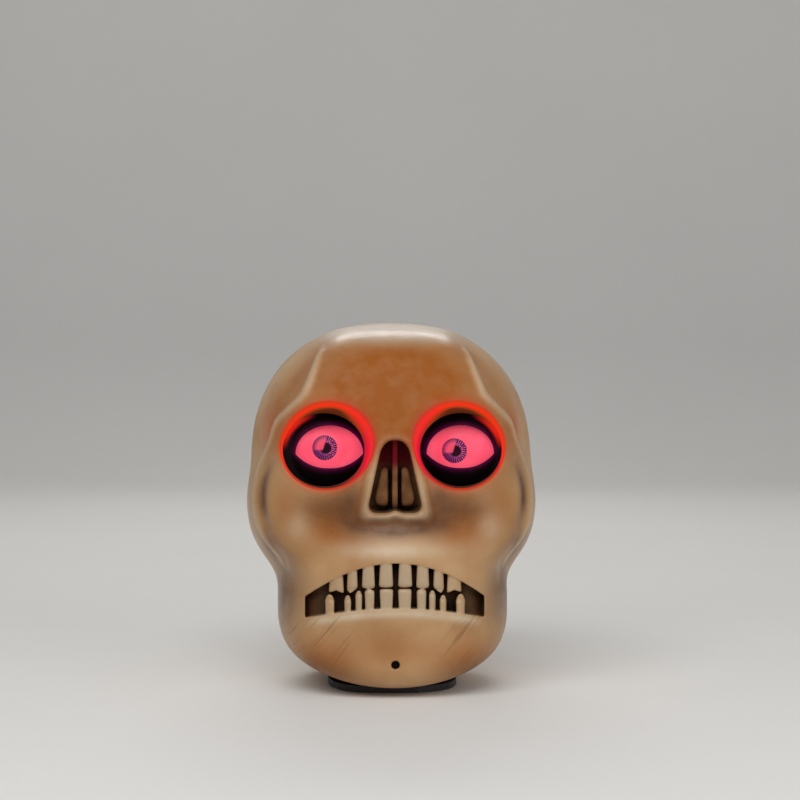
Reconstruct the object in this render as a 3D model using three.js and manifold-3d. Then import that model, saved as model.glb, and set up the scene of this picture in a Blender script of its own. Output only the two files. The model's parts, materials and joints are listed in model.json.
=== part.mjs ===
// A light-up skull decoration with moving eyes, in millimetres.
// X is to the viewer's right, the face looks along -Y, Z is up and the floor is at Z = 0.
import * as THREE from 'three';
import { mergeVertices } from 'three/addons/utils/BufferGeometryUtils.js';
import Module from 'manifold-3d';

const wasm = await Module();
wasm.setup();

// Fits between neighbouring pieces
const GAP = 0.3;
const RUNNING_GAP = 0.4;

// Skull shell
const WALL = 2.2;
const BASE_RISE = 3.2;
const SEAM_Y = -3;
const TAB = { width: 9, reach: 4, thickness: 1.6, heights: [70, 120], innerX: 20, outerX: 80 };
const CORE = new THREE.Vector3(0, -14, 80);
const OUTER_GRID = { columns: 34, rows: 26 };
const INNER_GRID = { columns: 18, rows: 14 };
const FACE_CROWDING = 0.35;

// Masses that blend into the skull: centre, half sizes, squareness and blend with the rest
const CRANIUM = { centre: [0, 5, 96.5], half: [64, 70, 65], squareness: 2.35 };
const CHEEK = { centre: [42, -5, 77], half: [21.5, 40, 27], squareness: 2.2, blend: 7 };
const MUZZLE = { centre: [0, -43, 49], half: [37, 29.5, 30], squareness: 2.2, blend: 12 };
const NECK = { centre: [0, -9, 31], half: [32, 38, 42], squareness: 3, blend: 8 };
const TEMPLE = { centre: [68, -31, 119], half: [9, 20, 22], squareness: 2, blend: 10 };
const JAW_PLAN = { centre: [0, -19], half: [51.5, 53], squareness: 2.6 };
const JAW = {
  underRadius: 83.5, underZ: 85, chinRise: 0.45, underBlend: 11, top: 61, topBlend: 20, blend: 9,
};
const FACE = {
  curve: 20, curveX: 56, curvePower: 2.3, flare: 0.12, flareY: -39, slope: 0.93, edgeBlend: 9,
  crownDrop: 3.5, topBlend: 14, bottom: 49, bottomBlend: 20, back: -4, backBlend: 10, blend: 6,
};

// Half width and forward reach of the face plane at a few heights
const FACE_WIDTH = [
  [45, 40], [57, 48], [67, 56], [79, 59.5], [93, 57.5], [109, 52.5], [135, 41.5], [159, 27],
];
const FACE_FRONT = [
  [45, 70], [63, 69.5], [81, 67.5], [101, 65.5], [117, 65.5], [133, 62], [147, 54], [159, 42],
];

// Face openings
const SOCKET = {
  x: 29.8, endHalf: 17.7, endHalfHeight: 15.9, rimHalf: 20.6, rimHalfHeight: 19.4, rimY: -66, rimLift: 3.4,
};
const NOSE = {
  top: 112, bottom: 80.5, spine: 82, halfTop: 5.6, halfBottom: 11.2, floorY: -57, rim: 1.3, rounding: 4.5,
};
const SEPTUM = { half: 1.2, frontY: -64 };
const CONCHA = { inner: 2.7, outer: 7.6, frontY: -61.5, top: 100 };
const MOUTH = { half: 39, topMid: 59.5, topEnd: 43.7, lowMid: 40.1, lowEnd: 34.3, depth: 4, backY: -40 };
const TOOTH_RECESS = 1;
const TOOTH_ROUNDING = 0.3;
const GUM_OVERLAP = 2;

// Teeth of the right half: inner edge, outer edge and height of the biting edge
const UPPER_TEETH = [[1.1, 6.6, 49.8], [9, 14, 49.3], [16.6, 20.6, 47.5], [22.8, 28.6, 46.3]];
const LOWER_TEETH = [
  [1.1, 6.6, 49.1], [9.1, 13, 48.7], [14.6, 17.3, 47.4], [19.2, 21.9, 45.6], [26.6, 30.6, 45.4],
];
const CHIN_HOLE = { radius: 1.9, rise: 11.4 };

// Eyes
const EYE_X = 29;
const EYE_Y = -34;
const EYE_Z = 106.5;
const EYE_RADIUS = 18;
const EYE_WALL = 1.6;
const EYE_CAP_ANGLE = 100;
const EYE_ROOM = 2.5;
const LID_THICKNESS = 1.4;
const LID_GAP = 0.7;
const LID_FLANGE = 2.2;
const ALMOND = { half: 14.8, top: 11, bottom: -7.6, corner: -1.7, fullness: 0.6 };

// Eye drive: sector gears, a sliding rack and a motor pinion of one tooth size
const TOOTH = 1;
const ADDENDUM = 0.9;
const DEDENDUM = 1.25;
const PRESSURE_ANGLE = 20;
const BACKLASH = 0.4;
const SECTOR_TEETH = 24;
const SECTOR_USED = 7;
const PINION_TEETH = 10;
const PINION_OVERHANG = 0.5;
const GEAR_THICKNESS = 3;
const GEAR_LIFT = 1.5;
const HUB_RADIUS = 5;
const HUB_STEPS = 8;
const RACK_BODY = 4;
const RACK_TEETH = 8;
const SWING = { low: -15, high: 28 };
const PIN_RADIUS = 1.5;
const DRIVE_SQUARE = 3.4;
const DECK = { thickness: 3, margin: 8, front: 7, rear: 2, earDepth: 8, pad: 6 };
const BRIDGE_MARGIN = 5;
const PILLAR = { half: 5, front: -41, back: -29 };
const KEEL = { inner: 6, outer: 16, thickness: 1.5, foot: 1.5, footOverhang: 2 };

// Motor
const GEARBOX = { width: 12, depth: 10, height: 9 };
const MOTOR = { length: 15, bearing: 2.5, bearingHeight: 1.2 };
const STRAP = { thickness: 1.5, foot: 7, width: 5, rise: 1 };
const SHAFT = { radius: 1.5, overhang: 1.5, sink: 5 };

// Eye lights
const LED = { radius: 2.5, length: 8.6, collar: 2.9, collarHeight: 1 };
const BOARD_THICKNESS = 1.6;
const LED_BOARD = { setback: 14.5, half: 36, halfHeight: 8 };

// Base, battery bay and switch
const TRAY = { half: 29, halfDepth: 39, y: -13, squareness: 3, sides: 28 };
const CELL = { radius: 5.25, length: 44.5, nub: 1, nubRadius: 1.9, pitch: 11.5 };
const CONTACT = { thickness: 0.5, foot: 2, headroom: 1 };
const SPRING = { radius: 3, wire: 0.4, turns: 2, length: 4, taper: 0.35 };
const BAY_WALL = 1.5;
const DOOR = { thickness: 1.4, recess: 0.4, land: 6.8, margin: 0.9, screwHead: 0.9 };
const GRIP = { rows: [-1, 0, 1], pitch: 4, half: 6, halfWidth: 0.8, depth: 0.6 };
const SWITCH = {
  x: 24, y: -10, half: 2.5, halfLength: 4.8, height: 5, travel: 3,
  knob: 1.3, knobLength: 1.7, knobLow: 0.5, stem: 0.9, stemHeight: 2,
};
const CIRCUIT = { half: 18.5, halfDepth: 24, lift: 3.5, postX: 13, postY: 19, post: 3 };
const CHIP = { half: 5, height: 2 };

// Sound
const SPEAKER = {
  cone: 12, flange: 14.5, flangeHeight: 1.5, depth: 6, magnet: 8, magnetHeight: 4,
  z: 33, seatY: 20.5, earX: 17.5, ear: 3.6, backY: 60,
};
const SOUND_HOLE = { radius: 1.4, ring: 6, count: 6 };
const MICROPHONE = { radius: 3.1, length: 4.6, tube: 5.2, backY: -63.5 };

// Screws and cables
const SCREW = { shank: 1.1, clearance: 1.5, head: 2.6, headHeight: 1.5, point: 1.2, sink: 0.2 };
const SCREW_LENGTH = {
  base: 11, deck: 12, strap: 4, speaker: 5.5, bridge: 12, brow: 12, board: 5, led: 8, door: 8,
};
const BOSS_RADIUS = 4;
const BASE_BOSS = { radius: 3.4, x: 24, frontY: -26, backY: 6, top: 16, roof: 2 };
const CHEEK_BOSS = { x: 47.5, z: 85.5, y: -39, bore: 9 };
const BROW_BOSS = { z: 137, y: -42, bore: 11 };
const CABLE_RADIUS = 0.9;
const CABLE_RISE = 5;

// Places that follow from the sizes above
const deg = Math.PI / 180;
const farReach = 2 * CRANIUM.half[1];
const faceTop = CRANIUM.centre[2] + CRANIUM.half[2] - FACE.crownDrop;
const chinSlope = JAW.chinRise * (MICROPHONE.backY - JAW_PLAN.centre[1]);
const chinBottom = JAW.underZ - Math.sqrt(JAW.underRadius ** 2 - chinSlope ** 2);
const chinHoleZ = chinBottom + CHIN_HOLE.rise;
const sectorRadius = TOOTH * SECTOR_TEETH / 2;
const pinionRadius = TOOTH * PINION_TEETH / 2;
const toothPitch = Math.PI * TOOTH;
const gearTop = EYE_Z - EYE_RADIUS - EYE_ROOM;
const gearBottom = gearTop - GEAR_THICKNESS;
const deckTop = gearBottom - GEAR_LIFT;
const deckBottom = deckTop - DECK.thickness;
const bridgeBottom = EYE_Z + EYE_RADIUS + EYE_ROOM;
const bridgeTop = bridgeBottom + DECK.thickness;
const rackFrontPitch = EYE_Y + sectorRadius;
const rackFrontRoot = rackFrontPitch + DEDENDUM * TOOTH;
const rackBackRoot = rackFrontRoot + RACK_BODY;
const rackBackPitch = rackBackRoot + DEDENDUM * TOOTH;
const rackMiddle = (rackFrontRoot + rackBackRoot) / 2;
const pinionY = rackBackPitch + pinionRadius;
const rackLeft = sectorRadius * SWING.high * deg;
const rackRight = -sectorRadius * SWING.low * deg;
const gearboxTop = deckBottom - GAP;
const gearboxBottom = gearboxTop - GEARBOX.height;
const motorTop = gearboxBottom - GAP;
const motorBottom = motorTop - MOTOR.length;
const strapScrewX = GEARBOX.width / 2 + STRAP.foot - 2;
const ledBoardY = EYE_Y + LED_BOARD.setback;
const lidInner = EYE_RADIUS + LID_GAP;
const lidOuter = lidInner + LID_THICKNESS;
const socketEndY = EYE_Y - Math.sqrt(lidOuter ** 2 - SOCKET.endHalfHeight ** 2) - GAP;
const bayHalf = 1.5 * CELL.pitch + GAP;
const bayHalfLength = (CELL.length + SPRING.length) / 2 + CONTACT.thickness + 3 * GAP;
const doorTop = DOOR.recess + DOOR.thickness;
const doorHalf = bayHalf + DOOR.margin;
const doorHalfLength = bayHalfLength + DOOR.land;
const doorScrewY = bayHalfLength + DOOR.land / 2;
const cellZ = doorTop + GAP + CELL.radius;
const bayTop = cellZ + CELL.radius + GAP;
const circuitBottom = bayTop + BAY_WALL + CIRCUIT.lift;
const circuitTop = circuitBottom + BOARD_THICKNESS;
const boardLand = circuitTop + GAP;
const ledBoardBack = ledBoardY + BOARD_THICKNESS + GAP;
const switchMiddle = SWITCH.y + SWITCH.travel / 2;

// Shape helpers

function solid(geometry) {
  const bare = new THREE.BufferGeometry();
  bare.setAttribute('position', geometry.getAttribute('position').clone());
  bare.setIndex(geometry.getIndex());
  const merged = mergeVertices(bare, 1e-4);
  const corners = merged.getIndex().array;
  const kept = [];
  for (let i = 0; i < corners.length; i += 3) {
    const [a, b, c] = corners.slice(i, i + 3);
    if (a !== b && b !== c && c !== a) kept.push(a, b, c);
  }
  return new wasm.Manifold(new wasm.Mesh({
    numProp: 3,
    vertProperties: Float32Array.from(merged.getAttribute('position').array),
    triVerts: Uint32Array.from(kept),
  }));
}

function geometryOf(body) {
  const net = body.getMesh();
  const geometry = new THREE.BufferGeometry();
  geometry.setAttribute('position', new THREE.BufferAttribute(Float32Array.from(net.vertProperties), 3));
  geometry.setIndex(new THREE.BufferAttribute(Uint32Array.from(net.triVerts), 1));
  geometry.computeVertexNormals();
  return geometry;
}

function joined(bodies) {
  return bodies.reduce((sum, body) => sum.add(body));
}

function inOrder(a, b) {
  return a < b ? [a, b] : [b, a];
}

function block(x, y, z) {
  const box = new THREE.BoxGeometry(x[1] - x[0], y[1] - y[0], z[1] - z[0]);
  box.translate((x[0] + x[1]) / 2, (y[0] + y[1]) / 2, (z[0] + z[1]) / 2);
  return solid(box);
}

function rodZ(radius, x, y, z, sides = 12) {
  const rod = new THREE.CylinderGeometry(radius, radius, z[1] - z[0], sides);
  rod.rotateX(Math.PI / 2);
  rod.translate(x, y, (z[0] + z[1]) / 2);
  return solid(rod);
}

function rodY(radius, x, y, z, sides = 12) {
  const rod = new THREE.CylinderGeometry(radius, radius, y[1] - y[0], sides);
  rod.translate(x, (y[0] + y[1]) / 2, z);
  return solid(rod);
}

// A shape drawn in X and Z, pushed along Y between two depths
function pushY(shape, y, curveSegments = 5) {
  const slab = new THREE.ExtrudeGeometry(shape, { depth: y[1] - y[0], bevelEnabled: false, curveSegments });
  slab.rotateX(Math.PI / 2);
  slab.translate(0, y[1], 0);
  return solid(slab);
}

// A shape drawn in X and Y, pushed along Z between two heights
function pushZ(shape, z, curveSegments = 5) {
  const slab = new THREE.ExtrudeGeometry(shape, { depth: z[1] - z[0], bevelEnabled: false, curveSegments });
  slab.translate(0, 0, z[0]);
  return solid(slab);
}

// A shape from its right half, which starts and ends on the middle line
function mirroredShape(half, segments) {
  const right = half.getPoints(segments);
  const left = right.slice(1, -1).reverse().map((point) => new THREE.Vector2(-point.x, point.y));
  return new THREE.Shape([...right, ...left]);
}

// A body through ellipses that stand across Y, listed from the rear to the front
function ellipseLoft(stations, sides = 20) {
  const tube = new THREE.CylinderGeometry(1, 1, 1, sides, stations.length - 1);
  const place = tube.getAttribute('position');
  for (let i = 0; i < place.count; i += 1) {
    const station = stations[Math.round((0.5 - place.getY(i)) * (stations.length - 1))];
    place.setXYZ(
      i,
      station.x + place.getX(i) * station.halfWidth,
      station.y,
      station.z + place.getZ(i) * station.halfHeight,
    );
  }
  return solid(tube);
}

// A turned form on the Y axis from pairs of radius and place along Y
function turned(profile, sides) {
  const points = profile.map(([radius, height]) => new THREE.Vector2(radius, height));
  return new THREE.LatheGeometry(points, sides);
}

function arcPoints(radius, from, to, steps) {
  return Array.from({ length: steps + 1 }, (_, i) => {
    const angle = (from + (to - from) * i / steps) * deg;
    return [radius * Math.sin(angle), -radius * Math.cos(angle)];
  });
}

// Skull form: a smooth field that is negative inside

function smoothMin(a, b, blend) {
  const share = Math.min(Math.max(0.5 + 0.5 * (b - a) / blend, 0), 1);
  return b + (a - b) * share - blend * share * (1 - share);
}

function smoothMax(a, b, blend) {
  return -smoothMin(-a, -b, blend);
}

// Distance to a rounded mass with a centre, half sizes and squareness
function mass(place, { centre, half, squareness }) {
  const parts = half.map((size, i) => Math.abs(place[i] - centre[i]) / size);
  const level = parts.reduce((sum, part) => sum + part ** squareness, 1e-9) ** (1 / squareness);
  const slope = Math.hypot(...parts.map((part, i) => part ** (squareness - 1) / half[i]));
  return (level - 1) / Math.max(slope * level ** (1 - squareness), 1e-6);
}

// A smooth curve through height and value stations
function curveThrough(stations, height) {
  const last = stations.length - 1;
  const z = Math.min(Math.max(height, stations[0][0]), stations[last][0]);
  let i = 0;
  while (i < last - 1 && z > stations[i + 1][0]) i += 1;
  const slopeAt = (k) => {
    const before = stations[Math.max(k - 1, 0)];
    const after = stations[Math.min(k + 1, last)];
    return (after[1] - before[1]) / (after[0] - before[0]);
  };
  const [z0, v0] = stations[i];
  const [z1, v1] = stations[i + 1];
  const span = z1 - z0;
  const t = (z - z0) / span;
  return v0 * (2 * t ** 3 - 3 * t ** 2 + 1) + slopeAt(i) * span * (t ** 3 - 2 * t ** 2 + t)
    + v1 * (3 * t ** 2 - 2 * t ** 3) + slopeAt(i + 1) * span * (t ** 3 - t ** 2);
}

function faceMass(x, y, z) {
  const reach = curveThrough(FACE_FRONT, z) - FACE.curve * (x / FACE.curveX) ** FACE.curvePower;
  const front = -y - reach;
  const side = x - curveThrough(FACE_WIDTH, z) - FACE.flare * (y - FACE.flareY);
  let face = smoothMax(front * FACE.slope, side * FACE.slope, FACE.edgeBlend);
  face = smoothMax(face, z - faceTop, FACE.topBlend);
  face = smoothMax(face, FACE.bottom - z, FACE.bottomBlend);
  return smoothMax(face, y - FACE.back, FACE.backBlend);
}

function jawMass(x, y, z) {
  const plan = mass([x, y], JAW_PLAN);
  const chinRise = JAW.chinRise * Math.min(y - JAW_PLAN.centre[1], 0);
  const under = Math.hypot(x, z - JAW.underZ, chinRise) - JAW.underRadius;
  return smoothMax(smoothMax(plan, under, JAW.underBlend), z - JAW.top, JAW.topBlend);
}

function skullField(px, y, z) {
  const x = Math.abs(px);
  const place = [x, y, z];
  let form = smoothMin(mass(place, CRANIUM), faceMass(x, y, z), FACE.blend);
  form = smoothMin(form, mass(place, CHEEK), CHEEK.blend);
  form = smoothMin(form, jawMass(x, y, z), JAW.blend);
  form = smoothMin(form, mass(place, MUZZLE), MUZZLE.blend);
  form = smoothMin(form, mass(place, NECK), NECK.blend);
  return smoothMax(form, -mass(place, TEMPLE), TEMPLE.blend);
}

// The closed skull form, grown or shrunk by an offset, with closer columns on the face
function skullForm(offset, grid) {
  const ball = new THREE.SphereGeometry(1, grid.columns, grid.rows);
  ball.rotateX(Math.PI / 2);
  const place = ball.getAttribute('position');
  const spot = new THREE.Vector3();
  for (let i = 0; i < place.count; i += 1) {
    const level = Math.hypot(place.getX(i), place.getY(i));
    const even = Math.atan2(place.getX(i), -place.getY(i));
    const turn = even - FACE_CROWDING * Math.sin(even);
    const ray = new THREE.Vector3(Math.sin(turn) * level, -Math.cos(turn) * level, place.getZ(i));
    let near = 0;
    let far = farReach;
    for (let step = 0; step < 32; step += 1) {
      const reach = (near + far) / 2;
      spot.copy(CORE).addScaledVector(ray, reach);
      if (skullField(spot.x, spot.y, spot.z) < offset) near = reach;
      else far = reach;
    }
    spot.copy(CORE).addScaledVector(ray, near);
    place.setXYZ(i, spot.x, spot.y, spot.z);
  }
  return solid(ball);
}

// Face openings

function socketEnd(side, grow) {
  return {
    x: side * SOCKET.x,
    y: socketEndY,
    z: EYE_Z,
    halfWidth: SOCKET.endHalf + grow,
    halfHeight: SOCKET.endHalfHeight + grow,
  };
}

function socketLoft(side, grow) {
  const rim = {
    x: side * SOCKET.x,
    y: SOCKET.rimY,
    z: EYE_Z + SOCKET.rimLift,
    halfWidth: SOCKET.rimHalf + grow,
    halfHeight: SOCKET.rimHalfHeight + grow,
  };
  return ellipseLoft([socketEnd(side, grow), rim, { ...rim, y: -farReach }]);
}

function socketOpening(side) {
  const end = socketEnd(side, 0);
  const mouth = ellipseLoft([{ ...end, y: socketEndY + WALL }, { ...end, y: socketEndY - GAP }]);
  return socketLoft(side, 0).add(mouth);
}

function noseShape(grow) {
  const low = NOSE.bottom - grow;
  const high = NOSE.top + grow;
  const wide = NOSE.halfBottom + grow;
  const narrow = NOSE.halfTop + grow;
  const half = new THREE.Path();
  half.moveTo(0, NOSE.spine - grow);
  half.quadraticCurveTo(wide * 0.2, low, wide * 0.55, low);
  half.quadraticCurveTo(wide, low, wide, low + NOSE.rounding);
  half.quadraticCurveTo(wide * 0.8, low * 0.4 + high * 0.6, narrow, high - NOSE.rounding);
  half.quadraticCurveTo(narrow * 0.9, high, 0, high);
  return mirroredShape(half, 3);
}

function noseBars() {
  const back = NOSE.floorY + 1;
  const septum = block([-SEPTUM.half, SEPTUM.half], [SEPTUM.frontY, back], [NOSE.bottom, NOSE.top]);
  const conchae = [-1, 1].map((side) => {
    const x = inOrder(side * CONCHA.inner, side * CONCHA.outer);
    return block(x, [CONCHA.frontY, back], [NOSE.bottom - 1, CONCHA.top]);
  });
  return joined([septum, ...conchae]).intersect(pushY(noseShape(WALL / 4), [-farReach, back]));
}

function mouthShape(grow) {
  const half = new THREE.Path();
  const end = MOUTH.half + grow;
  half.moveTo(0, MOUTH.lowMid - grow);
  half.quadraticCurveTo(MOUTH.half * 0.5, MOUTH.lowMid - grow, end, MOUTH.lowEnd - grow);
  half.lineTo(end, MOUTH.topEnd + grow);
  half.quadraticCurveTo(MOUTH.half * 0.56, MOUTH.topMid + grow, 0, MOUTH.topMid + grow);
  return mirroredShape(half, 5);
}

// One tooth from its gum to its rounded biting edge, above or below it
function toothShape([x0, x1, tip], gum) {
  const round = (x1 - x0) * TOOTH_ROUNDING;
  const shoulder = tip + Math.sign(gum - tip) * round;
  const shape = new THREE.Shape();
  shape.moveTo(x0, gum);
  shape.lineTo(x0, shoulder);
  shape.quadraticCurveTo(x0, tip, x0 + round, tip);
  shape.lineTo(x1 - round, tip);
  shape.quadraticCurveTo(x1, tip, x1, shoulder);
  shape.lineTo(x1, gum);
  return shape;
}

function teeth(reach) {
  const bodies = [];
  for (const side of [-1, 1]) {
    const place = ([x0, x1, tip]) => [...inOrder(side * x0, side * x1), tip];
    const upper = UPPER_TEETH.map((tooth) => toothShape(place(tooth), MOUTH.topMid + GUM_OVERLAP));
    const lower = LOWER_TEETH.map((tooth) => toothShape(place(tooth), MOUTH.lowEnd - GUM_OVERLAP));
    for (const shape of [...upper, ...lower]) bodies.push(pushY(shape, reach, 2));
  }
  return joined(bodies);
}

function withMouth(shell, core) {
  const reach = [-farReach, MOUTH.backY];
  const floor = skullForm(-MOUTH.depth, INNER_GRID);
  const rear = skullForm(-MOUTH.depth - WALL, INNER_GRID);
  const rows = teeth(reach)
    .intersect(skullForm(-TOOTH_RECESS, INNER_GRID))
    .intersect(pushY(mouthShape(WALL / 2), reach, 6))
    .subtract(skullForm(-MOUTH.depth - WALL / 2, INNER_GRID));
  const backing = pushY(mouthShape(WALL), reach).intersect(core).subtract(rear);
  return shell.add(backing).subtract(pushY(mouthShape(0), reach).subtract(floor)).add(rows);
}

function withNose(shell, core) {
  const cup = pushY(noseShape(WALL), [-farReach, NOSE.floorY + WALL]).intersect(core);
  const reach = [-farReach, NOSE.floorY];
  const bead = pushY(noseShape(NOSE.rim), reach).intersect(skullForm(NOSE.rim, OUTER_GRID));
  return shell.add(cup).add(bead).subtract(pushY(noseShape(0), reach)).add(noseBars());
}

// Skull shells

function below(height) {
  return block([-farReach, farReach], [-farReach, farReach], [-farReach, height]);
}

function baseBosses(y) {
  const z = [BASE_RISE, BASE_BOSS.top];
  return joined([-1, 1].map((side) => rodZ(BASE_BOSS.radius, side * BASE_BOSS.x, y, z)));
}

function bottomOpening() {
  const half = bayHalf + BAY_WALL + 2 * GAP;
  const halfLength = bayHalfLength + DOOR.land + 2 * GAP;
  const top = BASE_RISE + WALL + 3;
  const bay = block([-half, half], [TRAY.y - halfLength, TRAY.y + halfLength], [-1, top]);
  const room = SWITCH.halfLength + 2 * GAP;
  const notchX = [half - 1, SWITCH.x + SWITCH.half + 2 * GAP];
  const notch = block(notchX, [switchMiddle - room, switchMiddle + room], [-1, top]);
  return bay.add(notch);
}

function boreZ(x, y, z) {
  return rodZ(SCREW.shank + GAP, x, y, z, 8);
}

function boreY(x, y, z) {
  return rodY(SCREW.shank + GAP, x, y, z, 8);
}

// A boss on the inside of the face that reaches back to a depth
function faceBoss(radius, x, backY, z, core) {
  return rodY(radius, x, [-farReach, backY], z).intersect(core);
}

function faceShell(half, core) {
  let shell = half;
  for (const side of [-1, 1]) {
    shell = shell.add(socketLoft(side, WALL).intersect(core));
    shell = shell.add(faceBoss(BOSS_RADIUS, side * CHEEK_BOSS.x, CHEEK_BOSS.y - GAP, CHEEK_BOSS.z, core));
  }
  shell = shell.add(faceBoss(BOSS_RADIUS, 0, BROW_BOSS.y - GAP, BROW_BOSS.z, core));
  shell = shell.add(faceBoss(MICROPHONE.tube, 0, MICROPHONE.backY, chinHoleZ, core));
  shell = shell.add(baseBosses(BASE_BOSS.frontY).intersect(core));
  shell = withNose(shell, core);
  shell = withMouth(shell, core);
  const microphoneRoom = [MICROPHONE.backY - MICROPHONE.length - GAP, MICROPHONE.backY + 1];
  const cuts = [
    socketOpening(-1),
    socketOpening(1),
    bottomOpening(),
    rodY(CHIN_HOLE.radius, 0, [-farReach, MICROPHONE.backY], chinHoleZ),
    rodY(MICROPHONE.radius + GAP, 0, microphoneRoom, chinHoleZ),
    boreY(0, [BROW_BOSS.y - BROW_BOSS.bore, BROW_BOSS.y], BROW_BOSS.z),
  ];
  for (const side of [-1, 1]) {
    cuts.push(boreY(side * CHEEK_BOSS.x, [CHEEK_BOSS.y - CHEEK_BOSS.bore, CHEEK_BOSS.y], CHEEK_BOSS.z));
    cuts.push(boreZ(side * BASE_BOSS.x, BASE_BOSS.frontY, [BASE_RISE - 1, BASE_BOSS.top - BASE_BOSS.roof]));
  }
  return shell.subtract(joined(cuts));
}

// Tabs on the rear shell that locate the face shell from inside
function locatingTabs(core) {
  const underside = skullForm(-WALL - GAP - TAB.thickness, INNER_GRID);
  const shelf = skullForm(-WALL - GAP, INNER_GRID).subtract(underside);
  const root = core.subtract(underside);
  const half = TAB.width / 2;
  const tabs = [];
  for (const side of [-1, 1]) {
    const x = inOrder(side * TAB.innerX, side * TAB.outerX);
    for (const z of TAB.heights) {
      const height = [z - half, z + half];
      tabs.push(block(x, [SEAM_Y - TAB.reach, SEAM_Y + TAB.reach], height).intersect(shelf));
      tabs.push(block(x, [SEAM_Y + GAP, SEAM_Y + TAB.reach], height).intersect(root));
    }
  }
  return joined(tabs);
}

// A ring and two ears inside the nape that the speaker is screwed to
function speakerSeat() {
  const reach = [SPEAKER.seatY + GAP, SPEAKER.backY];
  const ring = rodY(SPEAKER.flange, 0, reach, SPEAKER.z, 16);
  const clear = rodY(SPEAKER.cone + 1, 0, [0, SPEAKER.backY], SPEAKER.z, 16);
  const ears = [-1, 1].map((side) => rodY(SPEAKER.ear, side * SPEAKER.earX, reach, SPEAKER.z));
  return joined([ring.subtract(clear), ...ears]);
}

function soundHoles() {
  const reach = [SPEAKER.seatY, SPEAKER.backY];
  const holes = [rodY(SOUND_HOLE.radius, 0, reach, SPEAKER.z, 8)];
  for (let i = 0; i < SOUND_HOLE.count; i += 1) {
    const angle = 2 * Math.PI * i / SOUND_HOLE.count;
    const x = SOUND_HOLE.ring * Math.cos(angle);
    const z = SPEAKER.z + SOUND_HOLE.ring * Math.sin(angle);
    holes.push(rodY(SOUND_HOLE.radius, x, reach, z, 8));
  }
  return joined(holes);
}

function rearShell(half, core) {
  let shell = half.add(locatingTabs(core));
  shell = shell.add(baseBosses(BASE_BOSS.backY).intersect(core));
  shell = shell.add(speakerSeat().intersect(core));
  const cuts = [bottomOpening(), soundHoles()];
  for (const side of [-1, 1]) {
    const earReach = [SPEAKER.seatY - 1, SPEAKER.seatY + SCREW_LENGTH.speaker - 1];
    cuts.push(boreY(side * SPEAKER.earX, earReach, SPEAKER.z));
    cuts.push(boreZ(side * BASE_BOSS.x, BASE_BOSS.backY, [BASE_RISE - 1, BASE_BOSS.top - BASE_BOSS.roof]));
  }
  return shell.subtract(joined(cuts));
}

// The two shells; what is added on their inside ends at the core, halfway through the wall
function skullShells() {
  const outer = skullForm(0, OUTER_GRID).subtract(below(BASE_RISE));
  const cavity = skullForm(-WALL, INNER_GRID).subtract(below(BASE_RISE + WALL));
  const core = skullForm(-WALL / 2, INNER_GRID).subtract(below(BASE_RISE + WALL / 2));
  const hollow = outer.subtract(cavity);
  const front = block([-farReach, farReach], [-farReach, SEAM_Y - GAP / 2], [-1, 2 * farReach]);
  const back = block([-farReach, farReach], [SEAM_Y + GAP / 2, farReach], [-1, 2 * farReach]);
  return {
    face: faceShell(hollow.intersect(front), core.intersect(front)),
    rear: rearShell(hollow.intersect(back), core),
  };
}

// Eyes and eyelids

function almondShape(x) {
  const shape = new THREE.Shape();
  const corner = EYE_Z + ALMOND.corner;
  shape.moveTo(x - ALMOND.half, corner);
  shape.quadraticCurveTo(x, EYE_Z + 2 * ALMOND.bottom - ALMOND.corner, x + ALMOND.half, corner);
  const top = EYE_Z + ALMOND.top;
  const rise = corner + (top - corner) * ALMOND.fullness;
  const reach = ALMOND.half * ALMOND.fullness;
  shape.bezierCurveTo(x + ALMOND.half, rise, x + reach, top, x, top);
  shape.bezierCurveTo(x - reach, top, x - ALMOND.half, rise, x - ALMOND.half, corner);
  return shape;
}

// A black bowl in front of the eye, with an almond opening and a flange behind the socket
function eyelid(side) {
  const x = side * EYE_X;
  const edge = Math.acos((EYE_Y - socketEndY - LID_THICKNESS) / lidOuter) / deg;
  const bowl = turned([...arcPoints(lidOuter, 0, edge, 4), ...arcPoints(lidInner, edge, 0, 4)], 20);
  bowl.translate(x, EYE_Y, EYE_Z);
  const ring = socketEnd(side, LID_FLANGE);
  const flangeFront = socketEndY + GAP;
  const flange = ellipseLoft([{ ...ring, y: flangeFront + LID_THICKNESS }, { ...ring, y: flangeFront }]);
  const ball = new THREE.SphereGeometry((lidInner + lidOuter) / 2, 20, 8);
  ball.translate(x, EYE_Y, EYE_Z);
  const room = skullForm(-WALL - GAP, INNER_GRID);
  const seat = flange.intersect(room).subtract(solid(ball));
  return solid(bowl).add(seat).subtract(pushY(almondShape(x), [-farReach, EYE_Y]));
}

function eyeball(side) {
  const x = side * EYE_X;
  const inner = EYE_RADIUS - EYE_WALL;
  const front = arcPoints(EYE_RADIUS, 0, EYE_CAP_ANGLE, 7);
  const cap = turned([...front, ...arcPoints(inner, EYE_CAP_ANGLE, 0, 4)], 18);
  cap.translate(x, EYE_Y, EYE_Z);
  const root = EYE_RADIUS - EYE_WALL / 2;
  const square = DRIVE_SQUARE / 2;
  return joined([
    solid(cap),
    rodZ(PIN_RADIUS, x, EYE_Y, [EYE_Z + root, bridgeTop], 8),
    block([x - square, x + square], [EYE_Y - square, EYE_Y + square], [gearBottom, EYE_Z - root]),
    rodZ(PIN_RADIUS, x, EYE_Y, [deckBottom, gearBottom + 1], 8),
  ]);
}

// Eye drive

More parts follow.
